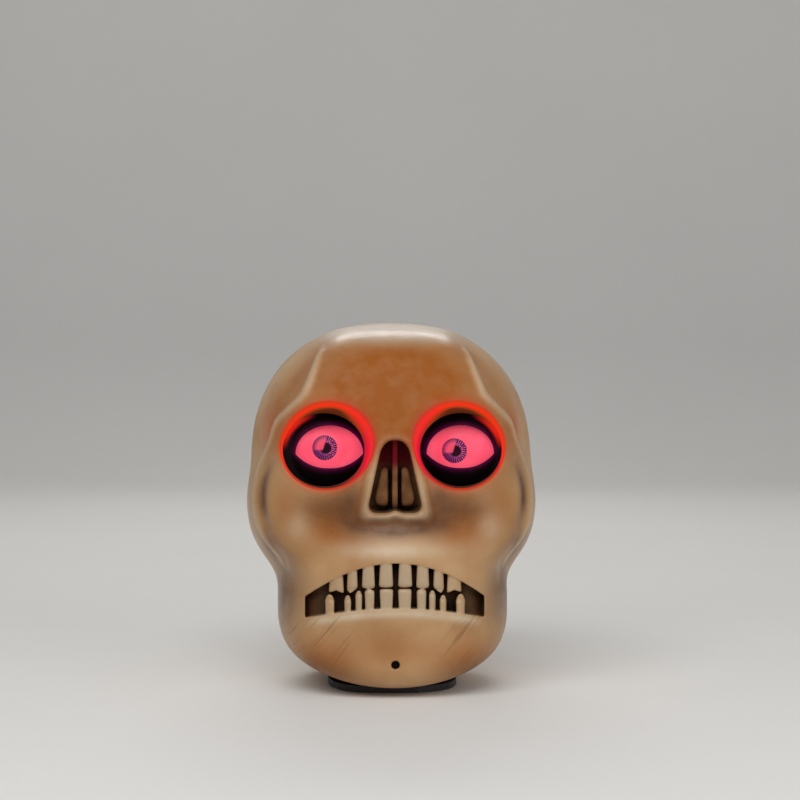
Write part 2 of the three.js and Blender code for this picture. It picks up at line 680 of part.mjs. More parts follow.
// Half the angle that a gear tooth spans at a given radius
function toothHalfAngle(teethCount, radius) {
  const pitch = TOOTH * teethCount / 2;
  const baseRadius = pitch * Math.cos(PRESSURE_ANGLE * deg);
  const involute = (r) => {
    const angle = Math.acos(Math.min(baseRadius / r, 1));
    return Math.tan(angle) - angle;
  };
  return (toothPitch / 2 - BACKLASH) / (2 * pitch) + involute(pitch) - involute(radius);
}

// The corners of one tooth whose middle points along an angle
function toothCorners(teethCount, middle) {
  const pitch = TOOTH * teethCount / 2;
  const radii = [pitch - DEDENDUM * TOOTH, pitch, pitch + ADDENDUM * TOOTH];
  const flank = (sign) => radii.map((radius) => {
    const angle = middle + sign * toothHalfAngle(teethCount, radius);
    return new THREE.Vector2(radius * Math.cos(angle), radius * Math.sin(angle));
  });
  return [...flank(-1), ...flank(1).reverse()];
}

function gearPoints(teethCount, used, middle) {
  const step = 2 * Math.PI / teethCount;
  const points = [];
  for (let i = 0; i < used; i += 1) {
    points.push(...toothCorners(teethCount, middle + (i - (used - 1) / 2) * step));
  }
  return points;
}

function eyeGear(side) {
  const points = gearPoints(SECTOR_TEETH, SECTOR_USED, Math.PI / 2);
  const hub = Array.from({ length: HUB_STEPS + 1 }, (_, i) => {
    const angle = Math.PI + Math.PI * i / HUB_STEPS;
    return new THREE.Vector2(HUB_RADIUS * Math.cos(angle), HUB_RADIUS * Math.sin(angle));
  });
  const x = side * EYE_X;
  const outline = [...points, ...hub].map((point) => new THREE.Vector2(point.x + x, point.y + EYE_Y));
  const hole = DRIVE_SQUARE / 2 + GAP;
  const bore = block([x - hole, x + hole], [EYE_Y - hole, EYE_Y + hole], [deckTop, EYE_Z]);
  return pushZ(new THREE.Shape(outline), [gearBottom, gearTop]).subtract(bore);
}

function drivePinion() {
  const points = gearPoints(PINION_TEETH, PINION_TEETH, Math.PI / PINION_TEETH - Math.PI / 2);
  const shape = new THREE.Shape(points.map((point) => new THREE.Vector2(point.x, point.y + pinionY)));
  const bore = rodZ(SHAFT.radius + GAP, 0, pinionY, [deckTop, EYE_Z], 8);
  return pushZ(shape, [gearBottom - PINION_OVERHANG, gearTop + PINION_OVERHANG]).subtract(bore);
}

// A row of rack teeth around a middle, pointing to the front or the rear
function rackRow(middle, pitchY, outward) {
  const slope = Math.tan(PRESSURE_ANGLE * deg);
  const halfPitch = (toothPitch / 2 - BACKLASH) / 2;
  const rise = ADDENDUM * TOOTH;
  const sink = DEDENDUM * TOOTH + GAP;
  const tip = halfPitch - rise * slope;
  const root = halfPitch + sink * slope;
  const tipY = pitchY + outward * rise;
  const rootY = pitchY - outward * sink;
  const bodies = [];
  for (let i = 0; i < RACK_TEETH; i += 1) {
    const x = middle + (i - (RACK_TEETH - 1) / 2) * toothPitch;
    const corners = [[-root, rootY], [root, rootY], [tip, tipY], [-tip, tipY]];
    const shape = new THREE.Shape(corners.map(([dx, y]) => new THREE.Vector2(x + dx, y)));
    bodies.push(pushZ(shape, [gearBottom, gearTop]));
  }
  return joined(bodies);
}

function eyeRack() {
  const half = EYE_X + (RACK_TEETH + 0.5) / 2 * toothPitch;
  const bodies = [
    block([-half, half], [rackFrontRoot, rackBackRoot], [gearBottom, gearTop]),
    rackRow(-EYE_X, rackFrontPitch, -1),
    rackRow(EYE_X, rackFrontPitch, -1),
    rackRow(0, rackBackPitch, 1),
  ];
  const footTop = deckBottom - GAP;
  for (const side of [-1, 1]) {
    const x = inOrder(side * KEEL.inner, side * KEEL.outer);
    const stem = KEEL.thickness / 2;
    const foot = stem + KEEL.footOverhang / 2;
    bodies.push(block(x, [rackMiddle - stem, rackMiddle + stem], [footTop - GAP, gearBottom + GAP]));
    bodies.push(block(x, [rackMiddle - foot, rackMiddle + foot], [footTop - KEEL.foot, footTop]));
  }
  return joined(bodies);
}

// An upright ear with its arm, which screws to a boss behind the cheek
function deckEar(side) {
  const outer = side * (CHEEK_BOSS.x + BOSS_RADIUS);
  const armX = inOrder(side * EYE_X, outer);
  const plateX = inOrder(side * (CHEEK_BOSS.x - BOSS_RADIUS), outer);
  const { y, z } = CHEEK_BOSS;
  const arm = block(armX, [y, y + DECK.earDepth], [deckBottom, deckTop]);
  const plate = block(plateX, [y, y + DECK.thickness], [deckBottom, z + BOSS_RADIUS]);
  return arm.add(plate);
}

// A low pad that the rack slides on
function deckPad(side) {
  const inner = KEEL.outer + DECK.pad;
  const x = inOrder(side * inner, side * (inner + DECK.pad));
  return block(x, [rackFrontRoot, rackBackRoot], [deckTop - GAP, gearBottom - GAP]);
}

function keelSlot(side) {
  const x = inOrder(side * KEEL.inner, side * KEEL.outer);
  const run = [x[0] - rackLeft - RUNNING_GAP, x[1] + rackRight + RUNNING_GAP];
  const half = KEEL.thickness / 2 + RUNNING_GAP;
  return block(run, [rackMiddle - half, rackMiddle + half], [deckBottom - 1, deckTop + 1]);
}

function eyeDeck() {
  const width = EYE_X + DECK.margin;
  const rear = pinionY + GEARBOX.depth / 2 + DECK.rear;
  const through = [deckBottom - 1, deckTop + 1];
  const bodies = [
    block([-width, width], [EYE_Y - DECK.front, rear], [deckBottom, deckTop]),
    block([-PILLAR.half, PILLAR.half], [PILLAR.front, PILLAR.back], [deckBottom, bridgeBottom - GAP]),
    rodY(BOSS_RADIUS, 0, [PILLAR.back - 1, ledBoardY - GAP], EYE_Z, 8),
  ];
  const cuts = [
    rodZ(SHAFT.radius + 2 * RUNNING_GAP, 0, pinionY, through, 8),
    boreY(0, [PILLAR.back, ledBoardY + 1], EYE_Z),
    boreZ(0, EYE_Y, [bridgeBottom - SCREW_LENGTH.bridge, bridgeBottom]),
  ];
  for (const side of [-1, 1]) {
    bodies.push(deckEar(side), deckPad(side));
    cuts.push(keelSlot(side));
    cuts.push(rodZ(PIN_RADIUS + GAP, side * EYE_X, EYE_Y, through, 8));
    const earReach = [CHEEK_BOSS.y - 1, CHEEK_BOSS.y + DECK.earDepth + 1];
    cuts.push(rodY(SCREW.clearance, side * CHEEK_BOSS.x, earReach, CHEEK_BOSS.z, 8));
    cuts.push(boreZ(side * strapScrewX, pinionY, [deckBottom - 1, deckTop - 2 * GAP]));
  }
  return joined(bodies).subtract(joined(cuts));
}

function eyeBridge() {
  const { y, z } = BROW_BOSS;
  const half = [-PILLAR.half, PILLAR.half];
  const width = EYE_X + BRIDGE_MARGIN;
  const body = joined([
    block([-width, width], [EYE_Y - BRIDGE_MARGIN, EYE_Y + BRIDGE_MARGIN], [bridgeBottom, bridgeTop]),
    block(half, [y, EYE_Y], [bridgeBottom, bridgeTop]),
    block(half, [y, y + DECK.thickness], [bridgeBottom, z + BOSS_RADIUS]),
  ]);
  const through = [bridgeBottom - 1, bridgeTop + 1];
  const cuts = [
    rodZ(SCREW.clearance, 0, EYE_Y, through, 8),
    rodY(SCREW.clearance, 0, [y - 1, y + DECK.thickness + 1], z, 8),
    rodZ(PIN_RADIUS + GAP, -EYE_X, EYE_Y, through, 8),
    rodZ(PIN_RADIUS + GAP, EYE_X, EYE_Y, through, 8),
  ];
  return body.subtract(joined(cuts));
}

// Motor

function gearbox() {
  const half = GEARBOX.width / 2;
  const deep = GEARBOX.depth / 2;
  const box = block([-half, half], [pinionY - deep, pinionY + deep], [gearboxBottom, gearboxTop]);
  const floor = gearboxTop - SHAFT.sink - RUNNING_GAP;
  return box.subtract(rodZ(SHAFT.radius + RUNNING_GAP, 0, pinionY, [floor, deckTop], 8));
}

function outputShaft() {
  return rodZ(SHAFT.radius, 0, pinionY, [gearboxTop - SHAFT.sink, gearTop + SHAFT.overhang], 8);
}

// A round can with two flats and a bearing boss at its lower end
function motorCan() {
  const radius = GEARBOX.width / 2;
  const can = rodZ(radius, 0, pinionY, [motorBottom, motorTop], 16);
  const flat = GEARBOX.depth / 2;
  const flats = block([-radius, radius], [pinionY - flat, pinionY + flat], [motorBottom, motorTop]);
  const bearing = rodZ(MOTOR.bearing, 0, pinionY, [motorBottom - MOTOR.bearingHeight, motorBottom + 1], 8);
  return can.intersect(flats).add(bearing);
}

// A strap round the front of the gearbox with a screwed foot on each side
function motorStrap() {
  const inner = GEARBOX.width / 2 + GAP;
  const outer = inner + STRAP.thickness;
  const footEnd = strapScrewX + SCREW.head + GAP;
  const half = STRAP.width / 2;
  const y = [pinionY - half, pinionY + half];
  const frontY = pinionY - GEARBOX.depth / 2 - GAP;
  const low = gearboxBottom + STRAP.rise;
  const band = [low, low + STRAP.width];
  const bodies = [block([-outer, outer], [frontY - STRAP.thickness, frontY], band)];
  const holes = [];
  for (const side of [-1, 1]) {
    const leg = inOrder(side * inner, side * outer);
    const foot = inOrder(side * inner, side * footEnd);
    bodies.push(block(leg, [frontY - STRAP.thickness, y[1]], band));
    bodies.push(block(leg, y, [low, gearboxTop]));
    bodies.push(block(foot, y, [gearboxTop - STRAP.thickness, gearboxTop]));
    holes.push(rodZ(SCREW.clearance, side * strapScrewX, pinionY, [low, deckTop], 8));
  }
  return joined(bodies).subtract(joined(holes));
}

// Eye lights

function ledBoard() {
  const { half, halfHeight } = LED_BOARD;
  const y = [ledBoardY, ledBoardY + BOARD_THICKNESS];
  const board = block([-half, half], y, [EYE_Z - halfHeight, EYE_Z + halfHeight]);
  return board.subtract(rodY(SCREW.clearance, 0, [ledBoardY - 1, ledBoardBack], EYE_Z, 8));
}

function led(side) {
  const { radius, length, collar, collarHeight } = LED;
  const dome = arcPoints(radius, 0, 90, 4).map(([across, along]) => [across, along - length + radius]);
  const foot = [[radius, -collarHeight], [collar, -collarHeight], [collar, 0], [0, 0]];
  const body = turned([...dome, ...foot], 8);
  body.translate(side * EYE_X, ledBoardY - GAP, EYE_Z);
  return solid(body);
}

// Base, battery bay and switch

function trayShape() {
  const power = 2 / TRAY.squareness;
  const along = (value) => Math.sign(value) * Math.abs(value) ** power;
  const points = Array.from({ length: TRAY.sides }, (_, i) => {
    const angle = 2 * Math.PI * i / TRAY.sides;
    const x = TRAY.half * along(Math.cos(angle));
    return new THREE.Vector2(x, TRAY.y + TRAY.halfDepth * along(Math.sin(angle)));
  });
  return new THREE.Shape(points);
}

function baseTray() {
  const outerHalf = bayHalf + BAY_WALL;
  const outerLength = bayHalfLength + BAY_WALL;
  const bodies = [
    pushZ(trayShape(), [0, BASE_RISE - GAP]),
    block([-outerHalf, outerHalf], [TRAY.y - outerLength, TRAY.y + outerLength], [1, bayTop + BAY_WALL]),
  ];
  const doorX = [-doorHalf - GAP, doorHalf + GAP];
  const doorY = [TRAY.y - doorHalfLength - GAP, TRAY.y + doorHalfLength + GAP];
  const cuts = [
    block([-bayHalf, bayHalf], [TRAY.y - bayHalfLength, TRAY.y + bayHalfLength], [-1, bayTop]),
    block(doorX, doorY, [-1, doorTop + GAP]),
    switchSlot(),
  ];
  for (const end of [-1, 1]) {
    const screwY = TRAY.y + end * doorScrewY;
    const postX = end * CIRCUIT.postX;
    const postY = TRAY.y + end * CIRCUIT.postY;
    bodies.push(rodZ(DOOR.land / 2, 0, screwY, [1, bayTop], 8));
    bodies.push(rodZ(CIRCUIT.post, postX, postY, [bayTop, circuitBottom - GAP], 8));
    cuts.push(boreZ(0, screwY, [0, bayTop - BAY_WALL]));
    cuts.push(boreZ(postX, postY, [bayTop + 1, circuitBottom]));
    for (const y of [BASE_BOSS.frontY, BASE_BOSS.backY]) {
      const x = end * BASE_BOSS.x;
      cuts.push(rodZ(SCREW.clearance, x, y, [-1, BASE_RISE], 8));
      cuts.push(rodZ(SCREW.head + GAP, x, y, [-1, SCREW.headHeight + SCREW.sink], 8));
    }
  }
  return joined(bodies).subtract(joined(cuts));
}

function batteryDoor() {
  const y = [TRAY.y - doorHalfLength, TRAY.y + doorHalfLength];
  const door = block([-doorHalf, doorHalf], y, [DOOR.recess, doorTop]);
  const cuts = [];
  for (const end of [-1, 1]) {
    const screwY = TRAY.y + end * doorScrewY;
    cuts.push(rodZ(SCREW.clearance, 0, screwY, [-1, doorTop + 1], 8));
    cuts.push(rodZ(SCREW.head + GAP, 0, screwY, [-1, DOOR.recess + DOOR.screwHead], 8));
  }
  for (const row of GRIP.rows) {
    const middle = TRAY.y + GRIP.pitch * row;
    const grooveY = [middle - GRIP.halfWidth, middle + GRIP.halfWidth];
    cuts.push(block([-GRIP.half, GRIP.half], grooveY, [-1, DOOR.recess + GRIP.depth]));
  }
  return door.subtract(joined(cuts));
}

// Cells lie head to tail along Y; the first and third have their nub to the front
function cellFacing(index) {
  return index === 1 ? 1 : -1;
}

function cellX(index) {
  return (index - 1) * CELL.pitch;
}

function batteryCell(index) {
  const facing = cellFacing(index);
  const { radius, length, nub, nubRadius } = CELL;
  const shoulder = length - nub;
  const can = [[0, 0], [radius, 0], [radius, shoulder]];
  const profile = [...can, [nubRadius, shoulder], [nubRadius, length], [0, length]];
  const cell = turned(profile, 12);
  cell.translate(0, bayHalfLength - CONTACT.thickness - 2 * GAP - length, 0);
  if (facing < 0) cell.rotateZ(Math.PI);
  cell.translate(cellX(index), TRAY.y, cellZ);
  return solid(cell);
}

function contactPlate(end) {
  const half = bayHalf - GAP;
  const inner = bayHalfLength - GAP - CONTACT.thickness;
  const y = inOrder(TRAY.y + end * inner, TRAY.y + end * (inner + CONTACT.thickness));
  return block([-half, half], y, [doorTop + CONTACT.foot, bayTop - CONTACT.headroom]);
}

class CoilCurve extends THREE.Curve {
  getPoint(t, target = new THREE.Vector3()) {
    const angle = 2 * Math.PI * SPRING.turns * t;
    const radius = SPRING.radius * (1 - SPRING.taper * t);
    const rise = (SPRING.length - 2 * GAP - 2 * SPRING.wire) * t;
    return target.set(radius * Math.cos(angle), rise, radius * Math.sin(angle));
  }
}

function tube(path, radius, sides, steps) {
  const ring = new THREE.Shape();
  for (let i = 0; i < sides; i += 1) {
    const angle = 2 * Math.PI * i / sides;
    const corner = [radius * Math.cos(angle), radius * Math.sin(angle)];
    if (i === 0) ring.moveTo(...corner);
    else ring.lineTo(...corner);
  }
  return new THREE.ExtrudeGeometry(ring, { steps, bevelEnabled: false, extrudePath: path });
}

function batterySpring(index) {
  const facing = cellFacing(index);
  const coil = tube(new CoilCurve(), SPRING.wire, 5, 8 * SPRING.turns);
  coil.translate(0, -bayHalfLength + CONTACT.thickness + 2 * GAP + SPRING.wire, 0);
  if (facing < 0) coil.rotateZ(Math.PI);
  coil.translate(cellX(index), TRAY.y, cellZ);
  return solid(coil);
}

// The room along Y that a part of the knob needs over its travel
function switchRun(halfLength) {
  const room = halfLength + RUNNING_GAP;
  return [SWITCH.y - room, SWITCH.y + SWITCH.travel + room];
}

function switchSlot() {
  const half = SWITCH.knob + RUNNING_GAP;
  return block([SWITCH.x - half, SWITCH.x + half], switchRun(SWITCH.knobLength), [-1, BASE_RISE]);
}

function switchBody() {
  const { x, half, halfLength, height, stem, stemHeight } = SWITCH;
  const y = [switchMiddle - halfLength, switchMiddle + halfLength];
  const body = block([x - half, x + half], y, [BASE_RISE, BASE_RISE + height]);
  const room = stem + RUNNING_GAP;
  const slotTop = BASE_RISE + stemHeight + RUNNING_GAP;
  return body.subtract(block([x - room, x + room], switchRun(stem), [BASE_RISE - 1, slotTop]));
}

function switchKnob() {
  const { x, y, knob, knobLength, knobLow, stem, stemHeight } = SWITCH;
  const cap = block([x - knob, x + knob], [y - knobLength, y + knobLength], [knobLow, BASE_RISE - GAP]);
  return cap.add(block([x - stem, x + stem], [y - stem, y + stem], [knobLow + 1, BASE_RISE + stemHeight]));
}

// Circuit board

function circuitBoard() {
  const { half, halfDepth, postX, postY } = CIRCUIT;
  const z = [circuitBottom, circuitTop];
  const board = block([-half, half], [TRAY.y - halfDepth, TRAY.y + halfDepth], z);
  const through = [circuitBottom - 1, circuitTop + 1];
  const holes = [-1, 1].map((end) => rodZ(SCREW.clearance, end * postX, TRAY.y + end * postY, through, 8));
  return board.subtract(joined(holes));
}

function controllerChip() {
  const { half, height } = CHIP;
  return block([-half, half], [TRAY.y - half, TRAY.y + half], [boardLand, boardLand + height]);
}

// Sound

function speakerFrame() {
  const { cone, flange, flangeHeight, depth, magnet, seatY, earX, ear, z } = SPEAKER;
  const profile = [
    [0, -depth], [magnet - 1, -depth], [cone, -flangeHeight], [flange, -flangeHeight],
    [flange, 0], [cone - 1, 0], [magnet - 2, flangeHeight - depth], [0, flangeHeight - depth],
  ];
  const frame = turned(profile, 16);
  frame.translate(0, seatY, z);
  const ears = [-1, 1].map((side) => {
    const x = inOrder(side * cone, side * (earX + ear));
    const plate = block(x, [seatY - flangeHeight, seatY], [z - ear, z + ear]);
    return plate.subtract(rodY(SCREW.clearance, side * earX, [seatY - depth, seatY + 1], z, 8));
  });
  return joined([solid(frame), ...ears]);
}

function speakerMagnet() {
  const back = SPEAKER.seatY - SPEAKER.depth - GAP;
  return rodY(SPEAKER.magnet, 0, [back - SPEAKER.magnetHeight, back], SPEAKER.z, 16);
}

function microphone() {
  const front = MICROPHONE.backY - MICROPHONE.length;
  return rodY(MICROPHONE.radius, 0, [front, MICROPHONE.backY], chinHoleZ, 12);
}

// Screws: the head bears on a place and the shank runs on along a direction

function screw(place, direction, length, headHeight = SCREW.headHeight) {
  const { shank, head, point } = SCREW;
  const cap = [[0, -headHeight], [head, -headHeight], [head, 0]];
  const body = turned([...cap, [shank, 0], [shank, length - point], [0, length]], 8);
  const turn = new THREE.Quaternion().setFromUnitVectors(new THREE.Vector3(0, 1, 0), direction);
  body.applyQuaternion(turn);
  body.translate(...place);
  return solid(body);
}

const up = new THREE.Vector3(0, 0, 1);
const down = new THREE.Vector3(0, 0, -1);
const forward = new THREE.Vector3(0, -1, 0);
const rearward = new THREE.Vector3(0, 1, 0);

// Cables inside the skull, each through a few points

function cable(points) {
  const path = new THREE.CatmullRomCurve3(points.map((point) => new THREE.Vector3(...point)));
  return solid(tube(path, CABLE_RADIUS, 5, 2 * points.length));
}

const motorEnd = motorBottom - MOTOR.bearingHeight - GAP;
const switchEnd = BASE_RISE + SWITCH.height + GAP;
const speakerEdge = SPEAKER.z + SPEAKER.cone;
const CABLES = {
  led_cable: [
    [-20, ledBoardBack, 102], [-22, -8, 99], [-23, 2, 84], [-20, 2, 56], [-14, -2, 34], [-13, -6, boardLand],
  ],
  motor_cable: [[0, pinionY, motorEnd], [1, pinionY, 48], [6, -14, 34], [8, -18, boardLand]],
  speaker_cable: [
    [9, SPEAKER.seatY - 3, speakerEdge], [10, 8, speakerEdge], [13, -4, 30], [13, -8, boardLand],
  ],
  microphone_cable: [
    [0, MICROPHONE.backY + GAP, chinHoleZ], [0, -54, chinHoleZ + CABLE_RISE],
    [0, -42, boardLand + CABLE_RISE], [0, -33, boardLand + CABLE_RISE], [0, -31, boardLand],
  ],
  switch_cable: [
    [SWITCH.x, SWITCH.y, switchEnd], [SWITCH.x, SWITCH.y, 18],
    [21, -14, 26], [14, -16, 26], [13, -16, boardLand],
  ],
};

// Materials

function finish(color, roughness, metalness = 0) {
  return new THREE.MeshStandardMaterial({ color, roughness, metalness });
}

const bone = finish('#c9b391', 0.42);
const black = finish('#100e0d', 0.5);
const litEye = finish('#ff6f93', 0.35);
const greyPlastic = finish('#3a3b3d', 0.6);
const acetal = finish('#e6e1d3', 0.45);
const steel = finish('#bfc2c4', 0.35, 0.9);
const brass = finish('#c39a4e', 0.35, 0.9);
const redLens = finish('#d3132b', 0.25);
const fibreglass = finish('#1f5b38', 0.55);
const chipBlack = finish('#17171a', 0.6);
const cellJacket = finish('#5b6670', 0.4);
const cableRed = finish('#8f1f1f', 0.55);

// Assembly

function build() {
  const group = new THREE.Group();
  const piece = (name, body, material) => {
    const mesh = new THREE.Mesh(geometryOf(body), material);
    mesh.name = name;
    group.add(mesh);
  };
  const fastener = (name, place, direction, length, headHeight) => {
    piece(name, screw(place, direction, length, headHeight), steel);
  };
  const shells = skullShells();
  piece('face_shell', shells.face, bone);
  piece('rear_shell', shells.rear, bone);
  piece('base_tray', baseTray(), black);
  piece('battery_door', batteryDoor(), black);

  const earBack = CHEEK_BOSS.y + DECK.thickness + GAP;
  const strapFace = gearboxTop - STRAP.thickness - GAP;
  const speakerFace = SPEAKER.seatY - SPEAKER.flangeHeight - GAP;
  const baseHead = SCREW.headHeight + SCREW.sink / 2;
  for (const [name, side] of [['left', -1], ['right', 1]]) {
    piece(`eyelid_${name}`, eyelid(side), black);
    piece(`eyeball_${name}`, eyeball(side), litEye);
    piece(`eye_gear_${name}`, eyeGear(side), acetal);
    piece(`led_${name}`, led(side), redLens);
    fastener(`deck_screw_${name}`, [side * CHEEK_BOSS.x, earBack, CHEEK_BOSS.z], forward, SCREW_LENGTH.deck);
    fastener(`strap_screw_${name}`, [side * strapScrewX, pinionY, strapFace], up, SCREW_LENGTH.strap);
    const speakerPlace = [side * SPEAKER.earX, speakerFace, SPEAKER.z];
    fastener(`speaker_screw_${name}`, speakerPlace, rearward, SCREW_LENGTH.speaker);
    const baseX = side * BASE_BOSS.x;
    fastener(`base_screw_front_${name}`, [baseX, BASE_BOSS.frontY, baseHead], up, SCREW_LENGTH.base);
    fastener(`base_screw_rear_${name}`, [baseX, BASE_BOSS.backY, baseHead], up, SCREW_LENGTH.base);
  }

  piece('eye_deck', eyeDeck(), greyPlastic);
  piece('eye_bridge', eyeBridge(), greyPlastic);
  piece('eye_rack', eyeRack(), acetal);
  piece('drive_pinion', drivePinion(), brass);
  piece('output_shaft', outputShaft(), steel);
  piece('gearbox', gearbox(), greyPlastic);
  piece('motor_can', motorCan(), steel);
  piece('motor_strap', motorStrap(), greyPlastic);
  fastener('bridge_screw', [0, EYE_Y, bridgeTop + GAP], down, SCREW_LENGTH.bridge);
  fastener('brow_screw', [0, BROW_BOSS.y + DECK.thickness + GAP, BROW_BOSS.z], forward, SCREW_LENGTH.brow);
  piece('led_board', ledBoard(), fibreglass);
  fastener('led_board_screw', [0, ledBoardBack, EYE_Z], forward, SCREW_LENGTH.led);

  for (let index = 0; index < 3; index += 1) {
    piece(`battery_cell_${index + 1}`, batteryCell(index), cellJacket);
    piece(`battery_spring_${index + 1}`, batterySpring(index), steel);
  }
  const doorHead = DOOR.recess + DOOR.screwHead - GAP / 6;
  for (const [name, end] of [['front', -1], ['rear', 1]]) {
    piece(`contact_plate_${name}`, contactPlate(end), steel);
    const doorPlace = [0, TRAY.y + end * doorScrewY, doorHead];
    fastener(`door_screw_${name}`, doorPlace, up, SCREW_LENGTH.door, DOOR.screwHead - GAP / 2);
    const boardPlace = [end * CIRCUIT.postX, TRAY.y + end * CIRCUIT.postY, boardLand];
    fastener(`board_screw_${name}`, boardPlace, down, SCREW_LENGTH.board);
  }
  piece('switch_body', switchBody(), greyPlastic);
  piece('switch_knob', switchKnob(), greyPlastic);
  piece('circuit_board', circuitBoard(), fibreglass);
  piece('controller_chip', controllerChip(), chipBlack);
  piece('speaker_frame', speakerFrame(), greyPlastic);
  piece('speaker_magnet', speakerMagnet(), steel);
  piece('microphone', microphone(), steel);
  for (const [name, points] of Object.entries(CABLES)) piece(name, cable(points), cableRed);
  return group;
}

export default build();
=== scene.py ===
import json
import math

import bmesh
import bpy
import numpy as np
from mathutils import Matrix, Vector


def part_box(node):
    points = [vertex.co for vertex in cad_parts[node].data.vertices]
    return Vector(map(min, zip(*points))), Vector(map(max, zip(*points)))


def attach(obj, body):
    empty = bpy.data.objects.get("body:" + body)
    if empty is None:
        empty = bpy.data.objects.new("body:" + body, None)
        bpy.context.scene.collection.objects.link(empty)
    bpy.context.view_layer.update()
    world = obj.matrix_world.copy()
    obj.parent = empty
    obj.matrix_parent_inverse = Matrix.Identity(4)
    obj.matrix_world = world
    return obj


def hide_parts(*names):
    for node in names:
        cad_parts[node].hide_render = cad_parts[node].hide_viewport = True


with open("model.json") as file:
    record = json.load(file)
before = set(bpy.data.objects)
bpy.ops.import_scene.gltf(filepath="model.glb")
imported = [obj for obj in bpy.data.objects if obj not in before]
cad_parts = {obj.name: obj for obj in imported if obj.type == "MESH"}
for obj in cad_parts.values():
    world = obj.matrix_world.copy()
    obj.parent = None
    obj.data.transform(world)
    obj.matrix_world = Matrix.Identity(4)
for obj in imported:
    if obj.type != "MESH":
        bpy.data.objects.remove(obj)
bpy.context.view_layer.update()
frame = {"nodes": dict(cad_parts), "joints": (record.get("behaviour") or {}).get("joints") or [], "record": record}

# A light-up skull decoration. Sizes are in millimetres until a mesh is made.
# X is to the viewer's right, the face looks along -Y and Z is up.
METRE = 0.001

# A distance past everything, and the least values that a division meets
FAR = 99.0
TINY_SUM = 1e-9
TINY_SLOPE = 1e-6
LEAST_SOCKET_SLOPE = 0.02

# Shell
WALL = 2.2
SEAM_GAP = 0.3
SHELL_EDGE = 0.5
INNER_EDGE = 0.2
BASE_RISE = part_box("face_shell")[0].z / METRE
SEAM_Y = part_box("face_shell")[1].y / METRE + SEAM_GAP / 2
OPENING = {"centre": (0, -13), "half": (29.3, 39.3), "squareness": 3}
OPENING_TOP = BASE_RISE + 9
SOUND_HOLE = {"radius": 1.4, "ring": 6, "count": 6, "z": 33, "from_y": 15, "edge": 0.4}

# Masses that blend into the skull, and how widely each one blends
CRANIUM = {"centre": (0, 5, 96.5), "half": (64, 70, 65), "squareness": 2.35}
CHEEK = {"centre": (42, -5, 77), "half": (21.5, 40, 27), "squareness": 2.2}
MUZZLE = {"centre": (0, -43, 49), "half": (37, 29.5, 30), "squareness": 2.2}
NECK = {"centre": (0, -9, 31), "half": (32, 38, 42), "squareness": 3}
TEMPLE = {"centre": (68, -31, 119), "half": (9, 20, 22), "squareness": 2}
BLEND = {"face": 6, "cheek": 7, "jaw": 9, "muzzle": 12, "neck": 8, "temple": 10}
JAW_PLAN = {"centre": (0, -19), "half": (51.5, 53), "squareness": 2.6}
JAW_UNDER = {"radius": 83.5, "z": 85, "chin_rise": 0.45, "edge": 11}
JAW_TOP = {"z": 61, "edge": 20}

# The face plane: half width and forward reach at a few heights, bend to the sides and round ends
FACE_WIDTH = ((45, 40), (57, 48), (67, 56), (79, 59.5), (93, 57.5), (109, 52.5), (135, 41.5), (159, 27))
FACE_FRONT = ((45, 70), (63, 69.5), (81, 67.5), (101, 65.5), (117, 65.5), (133, 62), (147, 54), (159, 42))
FACE_BEND = {"back": 20, "half": 56, "power": 2.3}
FACE_TAPER = {"slope": 0.12, "from_y": -39}
FACE_SLOPE = 0.93
FACE_SIDE_EDGE = 9
FACE_TOP = {"z": 158, "edge": 14}
FACE_LOW = {"z": 49, "edge": 20}
FACE_REAR = {"y": -4, "edge": 10}
FEATURES_Y = -30

# The ridge from the crown past the temple and round the cheekbone, as X and Z on the right half
RIDGE = (
    (31, 152), (35, 141.5), (39.5, 131), (46, 124), (51.5, 118), (54.5, 109), (58, 101), (60.2, 94.5),
    (61.4, 88), (61.2, 81), (59.8, 74), (56.9, 68), (53, 63), (49.8, 59), (48, 54),
)
RIDGE_HEIGHT = 1.3
RIDGE_WIDTH = 2.0
RIDGE_ENDS = ((53, 61), (146, 154))

# How a line is laid onto the form, and how distances to it are taken
DROP = {"front": -80.0, "back": -5.0, "rounds": 24}
LINE_DEPTH_SHARE = 0.6
SKIN_REACH = 5

# The hollow inside the ridge at the cheek
HOLLOW = {"inset": 3.4, "depth": 1.2, "width": 2.6, "low": 70, "high": 102}

# Paint clouds on the right half of the face, with painted shade under the eyes, under the nose and down the jaw,
# and painted highlights on the lips and cheek: X, Z, half width, half height and strength
WASH_AND_SHADE_CLOUDS = (
    (0, 136, 42, 22, 1.4), (0, 116, 14, 11, 1.0), (54, 116, 7, 14, 0.7), (28, 76, 14, 13, 0.9),
    (48, 84, 8, 12, 0.5), (30, 17, 16, 10, 0.7), (0, 22, 14, 8, 0.5),
)
# Umber paint, together with painted shade under the nose, beside it, under the eyes and down the jaw's sides
UMBER_AND_SHADE = (
    (0, 75, 19, 4.6, 1.5), (19, 86, 7, 12, 0.8), (31, 82, 11, 7, 0.7), (49, 44, 9, 17, 0.9),
    (56, 64, 5, 8, 0.8), (34, 10, 16, 7, 0.6),
)
# Pale paint, together with painted highlights on the upper lip and the cheek
PALE_AND_HIGHLIGHT_PLACES = ((0, 64.5, 20, 3.2, 0.8), (42, 74, 5, 6, 0.4))
